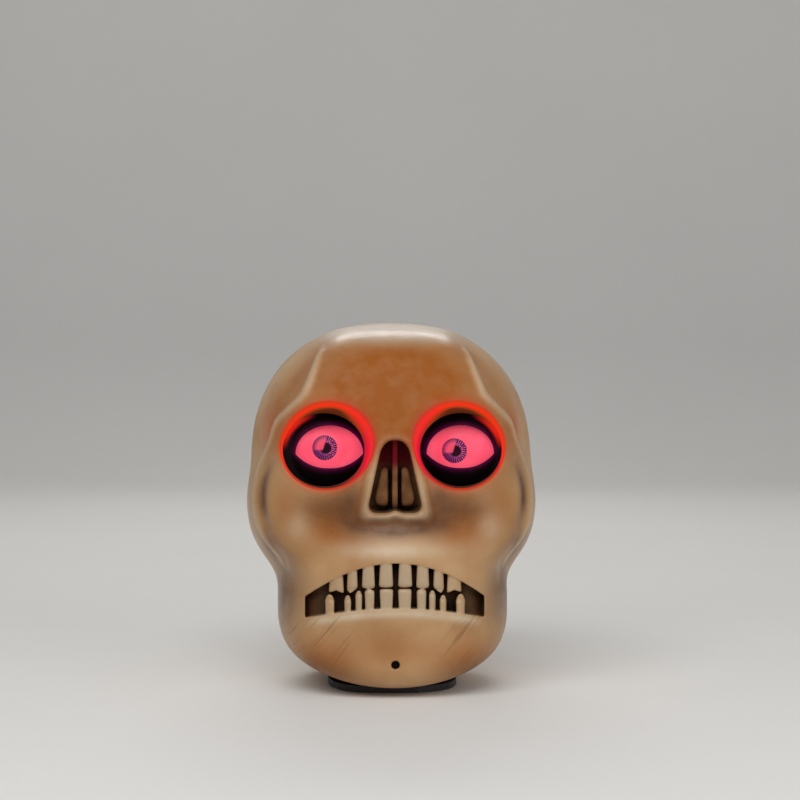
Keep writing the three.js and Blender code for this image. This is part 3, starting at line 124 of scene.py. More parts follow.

# Stretches over which paint, painted shade and painted highlights fade in or out, and how strong they are
FACE_PAINT = (15, 40)
# A paler top that is a painted highlight on the crown
CROWN_HIGHLIGHT = (150, 157)
# Pale paint along the ridge's crest that also stands in for its highlight
CREST_PALE_AND_HIGHLIGHT = {"width": 1.7, "pale_and_highlight": 0.7}
# Brown wash and painted shade in the hollow inside the ridge
HOLLOW_WASH_AND_SHADE = {"strength": 1.1, "width": 3, "low": (70, 84), "high": (92, 103)}
SCRATCHES = {"z": 26, "height": 14, "outer": (14, 28)}
MOUTH_PAINT_AND_SHADE = {
    "edge": (-0.4, 0.2), "dark_paint_and_shade": (1.6, 3.4), "corner": (27, 36), "corner_lift": 0.35, "tan": (1.0, 2.4),
    "tooth": (-2.4, -1.2), "back_teeth": (12, 30), "back_fade": 0.6,
}
# Pale paint on the lower lip that also stands in for its highlight
LIP_PALE_AND_HIGHLIGHT = {"out": 2, "width": 2, "low": (-48, -44), "ends": (-40, -30)}
NOSE_PAINT_AND_LIGHT = {
    "edge": (-0.6, 0.6), "depth": (0.8, 2.2), "slot": (6.9, 9), "slot_side": (3.5, 6), "side_lift": 0.5,
    "top": (97, 103), "top_lift": 0.8, "floor": (-85, -82.5), "floor_dark_and_shade": 0.9,
}
# Pale paint on the nose's raised rim that also stands in for its highlight
NOSE_RIM_PALE_AND_HIGHLIGHT = {"width": 1.4, "inner": -0.3, "top": (95, 108), "top_fade": 0.5, "pale_and_highlight": 0.3}
# Painted shade in the groove round the nose's rim
GROOVE_SHADE = {"out": 3, "width": 1.2, "strength": 0.5}

# Painted glow of the eye lamps round the sockets: up runs from -1 at a socket's foot to 1 at its top
RING = {"width": (0.6, 1.8), "width_up": (-0.6, 0.3), "low": 0.65, "low_up": (-0.9, -0.3)}
RING_WALL = {
    "depth": (0.9, 2.4), "reach": 1, "least": 0.2, "fade_from": 1, "fade": 3, "fade_at_nose": 17,
    "pink_up": (-0.7, 0.2),
}
HALO = {"strength": 0.4, "width": 4, "wider_up": 2, "up": (-0.5, 1)}
NOSE_SIDE = {"from": 4, "pink": 0.4}
# Painted shade on the sockets' walls, darker deeper in
SOCKET_SHADE = {"reach": 0.5, "depth": (2.5, 6), "strength": 0.8}
TEMPLE_GLOW = {"strength": 0.3, "centre": (57, -30, 117), "width": (6, 16, 12)}
GLOW_FRONT = (40, 46)
IN_NOSE = 0.3

# Eyes, sockets and lids
EYE = {side: np.array(joint["pos_m"]) / METRE for side in ("left", "right")
       for joint in frame["joints"] if joint["name"] == f"eye_{side}_swing"}
EYE_Y, EYE_Z = EYE["right"][1:]
EYE_RADIUS = 18
EYE_WALL = 1.6
EYE_CAP = math.radians(100)
EYE_POLE = 0.004
EYE_STEPS = {"outside": 64, "inside": 24, "around": 96}
# The eye's light, dimmer towards its top as painted shade under the upper lid
EYE_LIGHT = {"up": (4, 10), "strength": (0.75, 0.35)}
PIN_RADIUS = 1.5
PIN_CHAMFER = 0.4
PIN_ROOT = EYE_RADIUS - 1
PIN_SIDES = 24
LID_MIDDLE = 19.4
LID_HALF = 0.7
LID_BACK = -44.4
LID_FLANGE = 1.9
LID_RADIUS = 20.1
LID_EDGE = {"flange": 0.8, "almond": 0.5}
# Painted light on the lids: pink light of the eye round the almond, and a red glow next to the socket's rim
LID_LIGHT = 1.3
LID_EDGE_GLOW = {"inset": 0.4, "width": 1.1, "up": (-1, 8), "outer": (4, 15)}
SOCKET_X = 29.8
SOCKET_ASIDE = {"left": 1.0, "right": -0.4}
SOCKET_END = (17.7, 15.9)
SOCKET_RIM = (20.6, 19.4)
SOCKET_RIM_Y = -66
SOCKET_LIFT = 3.4
SOCKET_EDGE = 1.4
SOCKET_LIP = {"height": 0.5, "out": 2, "width": 2.2}
SOCKET_END_Y = EYE_Y - math.sqrt(LID_RADIUS ** 2 - SOCKET_END[1] ** 2) - SEAM_GAP
SOCKET_CUT_Y = SOCKET_END_Y + 1
ALMOND = {
    "half": 14.8, "top": 11, "bottom": -7.6, "corner": -1.7, "low_power": 2.4, "slope": 0.85, "edge": 0.4,
}
ALMOND_SHIFT = {"left": 0.7, "right": 0.2}
IRIS_PLACE = {"left": (-1.3, 1.3), "right": (-2.6, -0.1)}
IRIS_RADIUS = 5.5
IRIS_EDGE = (IRIS_RADIUS + 0.1, IRIS_RADIUS - 0.2)
IRIS_STROKES = {"count": 30.0, "drift": 2.5, "start": (0.42 * IRIS_RADIUS, 0.68 * IRIS_RADIUS)}
PUPIL = {"middle": (0.4, -0.1, 0), "edge": (2.7, 2.3)}
PALE_SPOT = {
    "slant": 0.32, "edge": (-0.3, -0.9), "low": (-1.4, -0.4), "reach": (0.9 * IRIS_RADIUS, 0.6 * IRIS_RADIUS),
    "strength": (0.15, 0.9),
}

# Nose, mouth and chin
NOSE = {"top": 112, "bottom": 80.5, "low": 84, "half_low": 11.4, "high": 108, "half_high": 6.2, "floor": -57}
NOSE_EDGE = {"top_bow": 2, "top": 4, "spine": 1.0, "spine_width": 2.4, "bottom": 5, "rim": 1}
NOSE_RIM = {"height": 1.1, "out": 1.6, "width": 1.5}
SEPTUM = {"half": 1.2, "front": -64, "edge": 1}
CONCHA = {"inner": 2.8, "inset": 2.2, "front": -61.5, "top": 100, "edge": 1.5, "top_edge": 2}
BARS = {"side": 0.5, "back": 1, "blend": 0.6}
MOUTH = {"half": 39, "top": 59.5, "top_bow": 0.0104, "low": 40.1, "low_bow": 0.0038, "depth": 4, "edge": 0.6}
CHIN_HOLE = {"radius": 1.9, "z": 15.3, "depth": -55}

# Teeth of the right half: inner edge, outer edge, biting edge and how far that edge points out
UPPER_TEETH = ((1.0, 7.2, 49.1, 0), (8.8, 14.5, 48.7, 0.3), (16.2, 20.9, 48, 1.6), (22.1, 28.7, 45.9, -1.6))
LOWER_TEETH = (
    (1.0, 6.9, 48.5, 0), (9.0, 13.3, 47.9, 0.3), (14.3, 17.3, 46.2, 1.4), (19, 22, 43.9, 1.6),
    (26.2, 30.3, 43.3, 2.2),
)
TOOTH = {"recess": 0.7, "curve": 0.8, "lean": 0.4, "pointed": 1, "bow": 0.2}
TOOTH_ROOT = {"length": 10, "narrower": 0.16, "prouder": 0.6, "in_gum": 1.5}
TOOTH_EDGE = {"side": 0.9, "front": 0.7, "blend": 0.4, "bite_depth": 0.5, "bite_width": 0.9}
TOOTH_REACH = 3

# Grids that the meshes are made on
FINE = 0.6
COARSE = 0.9
LID_GRID = 0.45
LID_MARGIN = 1
FACE_FINE = {"x": 44, "y": -44, "z": (30, 131)}
GRID_BOX = {"x": 67, "y": 77, "z": (1, 163)}
GRID_PAST_SEAM = 1.2
NEAR_FORM = (-24, 6)
DEEP_INSIDE = 20.0
WELD = 0.001 * METRE

# Camera at the photograph's viewing angle
TARGET = Vector((0, -9, 79)) * METRE
AZIMUTH = math.radians(-1.6)
ELEVATION = math.radians(5)
DISTANCE = 1.1
LENS = 108.7
AIM_RIGHT = 0.0039
AIM_UP = 0.0478

# Studio light: name, place and size in metres, and power in watts
LAMPS = (
    ("key", (-0.25, -0.9, 1.05), (1.3, 0.9), 11),
    ("fill", (0.9, -0.9, 0.5), (0.9, 0.9), 3.5),
    ("top", (0.0, 0.95, 0.78), (0.6, 0.3), 2.5),
)
SKY = {"Color": (0.9, 0.92, 0.95, 1), "Strength": 0.25}


# Fields: each is a distance in millimetres that is negative inside

def smooth_min(a, b, blend):
    share = np.clip(0.5 + 0.5 * (b - a) / blend, 0, 1)
    return b + (a - b) * share - blend * share * (1 - share)


def smooth_max(a, b, blend):
    return -smooth_min(-a, -b, blend)


def ramp(value, low, high):
    share = np.clip((value - low) / (high - low), 0, 1)
    return share * share * (3 - 2 * share)


def hump(value, width):
    return np.exp(-(value / width) ** 2)


def between(first, last, share):
    return first + (last - first) * share


def mass(place, centre, half, squareness):
    """A rounded body: an ellipsoid at a squareness of 2, and boxier above that."""
    parts = [np.abs(p - c) / h for p, c, h in zip(place, centre, half)]
    level = (sum(part ** squareness for part in parts) + TINY_SUM) ** (1 / squareness)
    slope = np.sqrt(sum((part ** (squareness - 1) / h) ** 2 for part, h in zip(parts, half)))
    return (level - 1) / np.maximum(slope * level ** (1 - squareness), TINY_SLOPE)


def curve_through(stations, height):
    """Values at the given heights, on a smooth curve through pairs of height and value."""
    heights = np.array([station[0] for station in stations], float)
    values = np.array([station[1] for station in stations], float)
    before = np.maximum(np.arange(len(heights)) - 1, 0)
    after = np.minimum(np.arange(len(heights)) + 1, len(heights) - 1)
    slopes = (values[after] - values[before]) / (heights[after] - heights[before])
    z = np.clip(height, heights[0], heights[-1])
    i = np.clip(np.searchsorted(heights, z) - 1, 0, len(heights) - 2)
    span = heights[i + 1] - heights[i]
    t = (z - heights[i]) / span
    first = values[i] * (2 * t ** 3 - 3 * t ** 2 + 1) + slopes[i] * span * (t ** 3 - 2 * t ** 2 + t)
    return first + values[i + 1] * (3 * t ** 2 - 2 * t ** 3) + slopes[i + 1] * span * (t ** 3 - t ** 2)


def face_mass(x, y, z):
    bend = FACE_BEND["back"] * (x / FACE_BEND["half"]) ** FACE_BEND["power"]
    front = -y - curve_through(FACE_FRONT, z) + bend
    side = x - curve_through(FACE_WIDTH, z) - FACE_TAPER["slope"] * (y - FACE_TAPER["from_y"])
    face = smooth_max(front * FACE_SLOPE, side * FACE_SLOPE, FACE_SIDE_EDGE)
    face = smooth_max(face, z - FACE_TOP["z"], FACE_TOP["edge"])
    face = smooth_max(face, FACE_LOW["z"] - z, FACE_LOW["edge"])
    return smooth_max(face, y - FACE_REAR["y"], FACE_REAR["edge"])


def jaw_mass(x, y, z):
    plan = mass((x, y), **JAW_PLAN)
    chin = JAW_UNDER["chin_rise"] * np.minimum(y - JAW_PLAN["centre"][1], 0)
    under = np.sqrt(x ** 2 + (z - JAW_UNDER["z"]) ** 2 + chin ** 2) - JAW_UNDER["radius"]
    jaw = smooth_max(plan, under, JAW_UNDER["edge"])
    return smooth_max(jaw, z - JAW_TOP["z"], JAW_TOP["edge"])


def skull_form(points):
    x, y, z = np.abs(points[:, 0]), points[:, 1], points[:, 2]
    form = smooth_min(mass((x, y, z), **CRANIUM), face_mass(x, y, z), BLEND["face"])
    form = smooth_min(form, mass((x, y, z), **CHEEK), BLEND["cheek"])
    form = smooth_min(form, jaw_mass(x, y, z), BLEND["jaw"])
    form = smooth_min(form, mass((x, y, z), **MUZZLE), BLEND["muzzle"])
    form = smooth_min(form, mass((x, y, z), **NECK), BLEND["neck"])
    return smooth_max(form, -mass((x, y, z), **TEMPLE), BLEND["temple"])


# A socket is an ellipse that narrows from its rim towards the lid behind it
def socket_distance(points):
    aside = np.where(points[:, 0] < 0, SOCKET_ASIDE["left"], SOCKET_ASIDE["right"])
    x, y, z = np.abs(points[:, 0]) - SOCKET_X - aside, points[:, 1], points[:, 2]
    share = np.clip((y - SOCKET_END_Y) / (SOCKET_RIM_Y - SOCKET_END_Y), 0, 1)
    wide = between(SOCKET_END[0], SOCKET_RIM[0], share)
    high = between(SOCKET_END[1], SOCKET_RIM[1], share)
    up = z - EYE_Z - SOCKET_LIFT * share
    level = np.hypot(x / wide, up / high) + TINY_SLOPE
    slope = np.hypot(x / wide ** 2, up / high ** 2) / level
    return (level - 1) / np.maximum(slope, LEAST_SOCKET_SLOPE)


def nose_distance(points):
    x, z = np.abs(points[:, 0]), points[:, 2]
    share = (z - NOSE["low"]) / (NOSE["high"] - NOSE["low"])
    side = x - between(NOSE["half_low"], NOSE["half_high"], share)
    top = z - NOSE["top"] + NOSE_EDGE["top_bow"] * (x / NOSE["half_high"]) ** 2
    bottom = NOSE["bottom"] + NOSE_EDGE["spine"] * hump(x, NOSE_EDGE["spine_width"]) - z
    return smooth_max(smooth_max(side, top, NOSE_EDGE["top"]), bottom, NOSE_EDGE["bottom"])


def mouth_distance(points):
    x, z = np.abs(points[:, 0]), points[:, 2]
    top = (z - MOUTH["top"] + MOUTH["top_bow"] * x ** 2) / np.hypot(1, 2 * MOUTH["top_bow"] * x)
    low = MOUTH["low"] - MOUTH["low_bow"] * x ** 2 - z
    return smooth_max(smooth_max(top, low, MOUTH["edge"]), x - MOUTH["half"], MOUTH["edge"])


def smooth_path(path, steps=3):
    """Places on a curve through the given places."""
    ends = [path[0]] + list(path) + [path[-1]]
    before, start, end, after = (np.array(ends[i:len(ends) - 3 + i], float) for i in range(4))
    runs = []
    for t in np.arange(steps) / steps:
        bend = (2 * before - 5 * start + 4 * end - after) * t ** 2
        bend = bend + (3 * start - before - 3 * end + after) * t ** 3
        runs.append(start + (end - before) * t / 2 + bend / 2)
    return np.vstack([np.stack(runs, 1).reshape(-1, 2), path[-1]])


def on_form(path):
    """Points of a front view, dropped back along Y onto the form."""
    flat = smooth_path(path)
    front, back = np.full(len(flat), DROP["front"]), np.full(len(flat), DROP["back"])
    for _ in range(DROP["rounds"]):
        middle = (front + back) / 2
        inside = skull_form(np.column_stack([flat[:, 0], middle, flat[:, 1]])) < 0
        back = np.where(inside, middle, back)
        front = np.where(inside, front, middle)
    return np.column_stack([flat[:, 0], back, flat[:, 1]])


def line_distance(points, form, path):
    """Distance to a line of places on the right half, for points near the form's surface."""
    distance = np.full(len(points), FAR)
    skin = np.abs(form) < SKIN_REACH
    place = np.column_stack([np.abs(points[skin, 0]), points[skin, 1], points[skin, 2]])
    nearest = np.full(len(place), np.inf)
    for start, end in zip(path[:-1], path[1:]):
        step = end - start
        share = np.clip((place - start) @ step / (step @ step), 0, 1)
        away = place - start - share[:, None] * step
        away[:, 1] *= LINE_DEPTH_SHARE
        nearest = np.minimum(nearest, np.sqrt((away ** 2).sum(1)))
    distance[skin] = nearest
    return distance


RIDGE_LINE = on_form(RIDGE)
HOLLOW_LINE = on_form([(x - HOLLOW["inset"], z) for x, z in RIDGE if HOLLOW["low"] < z < HOLLOW["high"]])


def crest(points, form, width):
    low, high = RIDGE_ENDS
    ends = ramp(points[:, 2], *low) * (1 - ramp(points[:, 2], *high))
    return ends * hump(line_distance(points, form, RIDGE_LINE), width)


def dent(points, form):
    return HOLLOW["depth"] * hump(line_distance(points, form, HOLLOW_LINE), HOLLOW["width"])


def tooth_field(points, form, tooth, gum, upper):
    inner, outer, tip, point = tooth
    x, z = np.abs(points[:, 0]), points[:, 2]
    middle, half = (inner + outer) / 2, (outer - inner) / 2
    across = (x - middle) / half
    length = (z - tip) if upper else (tip - z)
    root = np.clip(length / TOOTH_ROOT["length"], 0, 1)
    side = np.abs(x - middle) - half * (1 - TOOTH_ROOT["narrower"] * root)
    lean = TOOTH["lean"] if upper and point > TOOTH["pointed"] else 0
    tipped = 1 - np.abs(across - lean) if upper else 1 - across ** 2
    end = -length - point * tipped + TOOTH["bow"] * across ** 2
    front = form + TOOTH["recess"] * (1 - TOOTH_ROOT["prouder"] * root) + TOOTH["curve"] * across ** 2
    front = front + TOOTH_EDGE["bite_depth"] * hump(length, TOOTH_EDGE["bite_width"])
    body = smooth_max(smooth_max(side, end, TOOTH_EDGE["side"]), front, TOOTH_EDGE["front"])
    return np.maximum(body, gum)


def with_teeth(points, form, shape):
    mouth = mouth_distance(points)
    near = mouth < TOOTH_REACH
    place, base = points[near], form[near]
    gum = mouth[near] - TOOTH_ROOT["in_gum"]
    grown = shape[near]
    for teeth, upper in ((UPPER_TEETH, True), (LOWER_TEETH, False)):
        for tooth in teeth:
            grown = smooth_min(grown, tooth_field(place, base, tooth, gum, upper), TOOTH_EDGE["blend"])
    shape[near] = grown
    return shape


# The nose's recess with a septum and two side bars standing in it
def with_nose(points, shape):
    x, y, z = np.abs(points[:, 0]), points[:, 1], points[:, 2]
    nose = nose_distance(points)
    shape = smooth_max(shape, -np.maximum(nose, y - NOSE["floor"]), NOSE_EDGE["rim"])
    septum = smooth_max(x - SEPTUM["half"], SEPTUM["front"] - y, SEPTUM["edge"])
    panel = smooth_max(CONCHA["inner"] - x, nose + CONCHA["inset"], CONCHA["edge"])
    concha = smooth_max(panel, CONCHA["front"] - y, CONCHA["edge"])
    concha = smooth_max(concha, z - CONCHA["top"], CONCHA["top_edge"])
    within = np.maximum(nose - BARS["side"], y - NOSE["floor"] - BARS["back"])
    bars = np.maximum(np.minimum(septum, concha), within)
    return smooth_min(shape, bars, BARS["blend"])


# The outside of the skull with everything carved into it or standing on it
def outside(points):
    form = skull_form(points)
    y = points[:, 1]
    front = y < FEATURES_Y
    proud = form - RIDGE_HEIGHT * crest(points, form, RIDGE_WIDTH) + dent(points, form)
    rim = NOSE_RIM["height"] * hump(nose_distance(points) - NOSE_RIM["out"], NOSE_RIM["width"])
    lip = SOCKET_LIP["height"] * hump(socket_distance(points) - SOCKET_LIP["out"], SOCKET_LIP["width"])
    proud = proud - np.where(front, rim + lip, 0)
    pocket = np.maximum(mouth_distance(points), -form - MOUTH["depth"])
    shape = smooth_max(proud, -np.where(front, pocket, FAR), SHELL_EDGE)
    shape = with_teeth(points, form, shape)
    shape = np.where(front, with_nose(points, shape), shape)
    chin = np.hypot(points[:, 0], points[:, 2] - CHIN_HOLE["z"]) - CHIN_HOLE["radius"]
    return smooth_max(shape, -np.maximum(chin, y - CHIN_HOLE["depth"]), SHELL_EDGE)


# Walls that stand inside the shell behind the sockets, nose and mouth
def inner_walls(points, form):
    y = points[:, 1]
    sleeve = np.maximum(socket_distance(points) - WALL, y - SOCKET_END_Y)
    cup = np.maximum(nose_distance(points) - WALL, y - NOSE["floor"] - WALL)
    backing = np.maximum(mouth_distance(points) - WALL, -form - MOUTH["depth"] - WALL)
    backing = np.maximum(backing, y - FEATURES_Y)
    return np.minimum(np.minimum(sleeve, cup), backing)


# The opening in the shell's underside for the base, and the shell's lower edge
def with_underside(points, shell):
    opening = mass((points[:, 0], points[:, 1]), **OPENING)
    shell = np.maximum(shell, -np.where(points[:, 2] < OPENING_TOP, opening, FAR))
    return smooth_max(shell, BASE_RISE - points[:, 2], SHELL_EDGE)


# The front half: its outer skin, inner walls, socket openings and seam
def face_field(points):
    form = skull_form(points)
    result = np.where(form < 0, DEEP_INSIDE, form)
    near = (form > NEAR_FORM[0]) & (form < NEAR_FORM[1])
    place = points[near]
    hollow = form[near] + dent(place, form[near]) + WALL
    shell = np.minimum(-hollow, inner_walls(place, form[near]))
    shell = smooth_max(outside(place), shell, INNER_EDGE)
    socket = np.where(place[:, 1] < SOCKET_CUT_Y, socket_distance(place), FAR)
    shell = with_underside(place, smooth_max(shell, -socket, SOCKET_EDGE))
    result[near] = smooth_max(shell, place[:, 1] - SEAM_Y + SEAM_GAP / 2, SHELL_EDGE)
    return result


def sound_holes(points):
    x, z = points[:, 0], points[:, 2] - SOUND_HOLE["z"]
    holes = np.hypot(x, z)
    for i in range(SOUND_HOLE["count"]):
        angle = 2 * math.pi * i / SOUND_HOLE["count"]
        away = np.hypot(x - SOUND_HOLE["ring"] * math.cos(angle), z - SOUND_HOLE["ring"] * math.sin(angle))
        holes = np.minimum(holes, away)
    return np.where(points[:, 1] > SOUND_HOLE["from_y"], holes - SOUND_HOLE["radius"], FAR)


# The rear half: an even wall with sound holes and the seam
def rear_field(points):
    form = skull_form(points)
    shell = np.maximum(form, -form - WALL)
    shell = smooth_max(shell, -sound_holes(points), SOUND_HOLE["edge"])
    shell = with_underside(points, shell)
    return smooth_max(shell, SEAM_Y + SEAM_GAP / 2 - points[:, 1], SHELL_EDGE)


# The eye's opening: a half ellipse above its corners and a flatter bow below them
def almond_distance(x, z):
    across = np.abs(x / ALMOND["half"])
    up = z - ALMOND["corner"]
    level = np.hypot(across, up / (ALMOND["top"] - ALMOND["corner"]))
    top = (level - 1) * ALMOND["half"] * ALMOND["slope"]
    low = (ALMOND["bottom"] - ALMOND["corner"]) * (1 - across ** ALMOND["low_power"]) - up
    return smooth_max(top, low * ALMOND["slope"], ALMOND["edge"])


def lid_field(points, shift):
    place = points - EYE["right"]
    around = np.sqrt((place ** 2).sum(1))
    bowl = np.abs(around - LID_MIDDLE) - LID_HALF
    x = (points[:, 0] - SOCKET_X) / (SOCKET_END[0] + LID_FLANGE)
    z = place[:, 2] / (SOCKET_END[1] + LID_FLANGE)
    edge = (np.hypot(x, z) - 1) * SOCKET_END[1]
    flange = np.maximum(SOCKET_END_Y + SEAM_GAP - points[:, 1], LID_MIDDLE - around)
    lid = smooth_min(bowl, flange, LID_EDGE["flange"])
    lid = np.maximum(np.maximum(lid, edge), points[:, 1] - LID_BACK)
    return smooth_max(lid, -almond_distance(place[:, 0] - shift, place[:, 2]), LID_EDGE["almond"])


# Meshes from fields

def in_chunks(field, points, size=300000):
    return np.concatenate([field(points[i:i + size]) for i in range(0, len(points), size)])


def planes(*stretches):
    """Grid planes through stretches of start, end and spacing."""
    runs = [np.linspace(a, b, max(int(math.ceil((b - a) / step)), 1) + 1) for a, b, step in stretches]
    return np.unique(np.concatenate(runs).round(6))


def net_points(grid, values, inside, corners, crossed):
    """One point in each crossed cell: the middle of the places where its edges cross the surface."""
    total = np.zeros((len(crossed), 3))
    hits = np.zeros((len(crossed), 1))
    for axis in range(3):
        step = np.eye(3, dtype=int)[axis]
        for corner in corners:
            if corner[axis]:
                continue
            low, high = tuple((crossed + corner).T), tuple((crossed + corner + step).T)
            cut = (inside[low] != inside[high])[:, None]
            share = (values[low] / np.where(cut[:, 0], values[low] - values[high], 1))[:, None]
            total += np.where(cut, grid[low] + share * (grid[high] - grid[low]), 0)
            hits += cut
    return total / hits


def net_quads(inside, number):
    """One quad round each grid edge that crosses the surface, facing out."""
    quads = []
    for axis in range(3):
        along, across = np.roll(np.eye(3, dtype=int), -axis, axis=0)[1:]
        span = [slice(1, -1)] * 3
        span[axis] = slice(None, -1)
        ahead = list(span)
        ahead[axis] = slice(1, None)
        low, high = inside[tuple(span)], inside[tuple(ahead)]
        edges = np.argwhere(low != high) + along + across
        ring = [edges - along - across, edges - across, edges, edges - along]
        quad = np.column_stack([number[tuple(place.T)] for place in ring])
        outward = low[low != high]
        quads.append(np.where(outward[:, None], quad, quad[:, ::-1]))
    return np.concatenate(quads)


def surface_net(field, axes):
    """Points and quads on a field's zero surface, over a box grid with planes along each axis."""
    grid = np.stack(np.meshgrid(*axes, indexing="ij"), -1)
    values = in_chunks(field, grid.reshape(-1, 3)).reshape(grid.shape[:3])
    inside = values < 0
    cells = np.array(inside.shape) - 1
    corners = [np.array((i, j, k)) for i in (0, 1) for j in (0, 1) for k in (0, 1)]
    filled = sum(inside[i:i + cells[0], j:j + cells[1], k:k + cells[2]].astype(int) for i, j, k in corners)
    crossed = np.argwhere((filled > 0) & (filled < len(corners)))
    number = np.full(cells, -1)
    number[tuple(crossed.T)] = np.arange(len(crossed))
    points = settled(field, net_points(grid, values, inside, corners, crossed))
    return points, net_quads(inside, number)


def settled(field, points, rounds=2, step=0.05, reach=0.3, least_slope=0.3):
    """Points moved onto the zero surface along the field's slope."""
    for _ in range(rounds):
        value = in_chunks(field, points)
        slope = np.column_stack([
            (in_chunks(field, points + step * np.eye(3)[axis]) - value) / step for axis in range(3)
        ])
        steep = np.maximum((slope ** 2).sum(1), least_slope)
        points = points + np.clip(-(value / steep)[:, None] * slope, -reach, reach)
    return points


def mesh_object(name, points, faces, attributes=None):
    mesh = bpy.data.meshes.new(name)
    mesh.from_pydata((points * METRE).tolist(), [], faces.tolist())
    mesh.polygons.foreach_set("use_smooth", [True] * len(mesh.polygons))
    for key, values in (attributes or {}).items():
        mesh.attributes.new(key, "FLOAT", "POINT").data.foreach_set("value", values.astype(np.float32))
    made = bpy.data.objects.new(name, mesh)
    bpy.context.scene.collection.objects.link(made)
    return made


def welded(piece):
    """The piece with the points that meet at each pole made one."""
    work = bmesh.new()
    work.from_mesh(piece.data)
    bmesh.ops.remove_doubles(work, verts=work.verts, dist=WELD)
    work.to_mesh(piece.data)
    work.free()
    return piece


def placed(piece, body, node, material):
    piece.data.materials.append(material)
    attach(piece, body)
    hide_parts(node)


# Where paint, painted shade, painted highlights and the painted glow of the eyes fall on the shell

class Skin:
    """Points of the shell and their distances to the features around them."""

    def __init__(self, points):
        self.x, self.y, self.z = np.abs(points[:, 0]), points[:, 1], points[:, 2]
        self.depth = -skull_form(points)
        self.face = ramp(-self.y, *FACE_PAINT)
        self.nose = nose_distance(points)
        self.mouth = mouth_distance(points)
        self.socket = socket_distance(points)

    def spots(self, places):
        return sum(strength * hump(self.x - x, wide) * hump(self.z - z, high)
                   for x, z, wide, high, strength in places)


def mouth_paint_and_shade(skin):
    """The mouth's inside, its dark paint and painted shade deeper in, the tan paint and painted shade of its
    corners and the paleness of its teeth.
    """
    inside = skin.face * ramp(-skin.mouth, *MOUTH_PAINT_AND_SHADE["edge"])
    corner = inside * ramp(skin.x, *MOUTH_PAINT_AND_SHADE["corner"])
    dark_paint_and_shade = inside * ramp(skin.depth, *MOUTH_PAINT_AND_SHADE["dark_paint_and_shade"]) * (1 - MOUTH_PAINT_AND_SHADE["corner_lift"] * corner)
    tan = corner * ramp(skin.depth, *MOUTH_PAINT_AND_SHADE["tan"])
    back_teeth = MOUTH_PAINT_AND_SHADE["back_fade"] * ramp(skin.x, *MOUTH_PAINT_AND_SHADE["back_teeth"])
    tooth = inside * ramp(-skin.depth, *MOUTH_PAINT_AND_SHADE["tooth"]) * (1 - back_teeth)
    return inside, dark_paint_and_shade, tan, tooth


def nose_paint_and_light(skin):
    """The nose's inside, its dark paint and painted shade in the slots, its top painted red by the eyes' glow, the
    pale paint and painted highlight on its rim and the painted shade in the groove round that.
    """
    inside = skin.face * ramp(-skin.nose, *NOSE_PAINT_AND_LIGHT["edge"]) * ramp(skin.depth, *NOSE_PAINT_AND_LIGHT["depth"])
    top = ramp(skin.z, *NOSE_PAINT_AND_LIGHT["top"])
    beside = NOSE_PAINT_AND_LIGHT["side_lift"] * ramp(skin.x, *NOSE_PAINT_AND_LIGHT["slot_side"])
    slots = ramp(skin.depth, *NOSE_PAINT_AND_LIGHT["slot"]) * (1 - beside) * (1 - NOSE_PAINT_AND_LIGHT["top_lift"] * top)
    slots = np.maximum(slots, NOSE_PAINT_AND_LIGHT["floor_dark_and_shade"] * ramp(-skin.z, *NOSE_PAINT_AND_LIGHT["floor"]))
    out = skin.nose - NOSE_RIM["out"]
    rim = hump(out, NOSE_RIM_PALE_AND_HIGHLIGHT["width"]) * (skin.nose > NOSE_RIM_PALE_AND_HIGHLIGHT["inner"])
    rim = rim * (1 - NOSE_RIM_PALE_AND_HIGHLIGHT["top_fade"] * ramp(skin.z, *NOSE_RIM_PALE_AND_HIGHLIGHT["top"]))
    pale_and_highlight = NOSE_RIM_PALE_AND_HIGHLIGHT["pale_and_highlight"] * rim
    groove = GROOVE_SHADE["strength"] * hump(out - GROOVE_SHADE["out"], GROOVE_SHADE["width"])
    return inside, inside * slots, inside * top, pale_and_highlight, groove


def eye_light(skin, in_nose):
    """Painted glow of the eye lamps on and round the sockets, how pink it is, and the painted shade on the
    sockets' walls.
    """
    up = (skin.z - EYE_Z - SOCKET_LIFT) / SOCKET_RIM[1]
    toward_nose = ramp(SOCKET_X - skin.x, NOSE_SIDE["from"], SOCKET_RIM[0])
    out = np.maximum(skin.socket, 0)
    wall = ramp(skin.depth, *RING_WALL["depth"]) * (skin.socket < RING_WALL["reach"])
    fade_width = RING_WALL["fade"] + RING_WALL["fade_at_nose"] * toward_nose
    below = np.maximum(skin.depth - RING_WALL["fade_from"], 0)
    fade = between(RING_WALL["least"], 1, hump(below, fade_width))
    ring = hump(out, between(*RING["width"], ramp(up, *RING["width_up"]))) * np.where(wall > 0, fade, 1)
    ring = ring * between(RING["low"], 1, ramp(up, *RING["low_up"]))
    halo_width = HALO["width"] + HALO["wider_up"] * np.clip(up, *HALO["up"])
    halo = HALO["strength"] * hump(out, halo_width) * (1 - wall)
    lit = ramp(-skin.y, *GLOW_FRONT) * np.where(in_nose > IN_NOSE, 0, 1 - (1 - ring) * (1 - halo))
    temple = TEMPLE_GLOW["strength"]
    for place, centre, width in zip((skin.x, skin.y, skin.z), TEMPLE_GLOW["centre"], TEMPLE_GLOW["width"]):
        temple = temple * hump(place - centre, width)
    pink = np.maximum(NOSE_SIDE["pink"] * toward_nose, wall * ramp(-up, *RING_WALL["pink_up"]))
    dark_paint_and_shade = skin.face * (skin.socket < SOCKET_SHADE["reach"]) * ramp(skin.depth, *SOCKET_SHADE["depth"])
    return np.maximum(lit, temple), pink, SOCKET_SHADE["strength"] * dark_paint_and_shade * (1 - toward_nose)


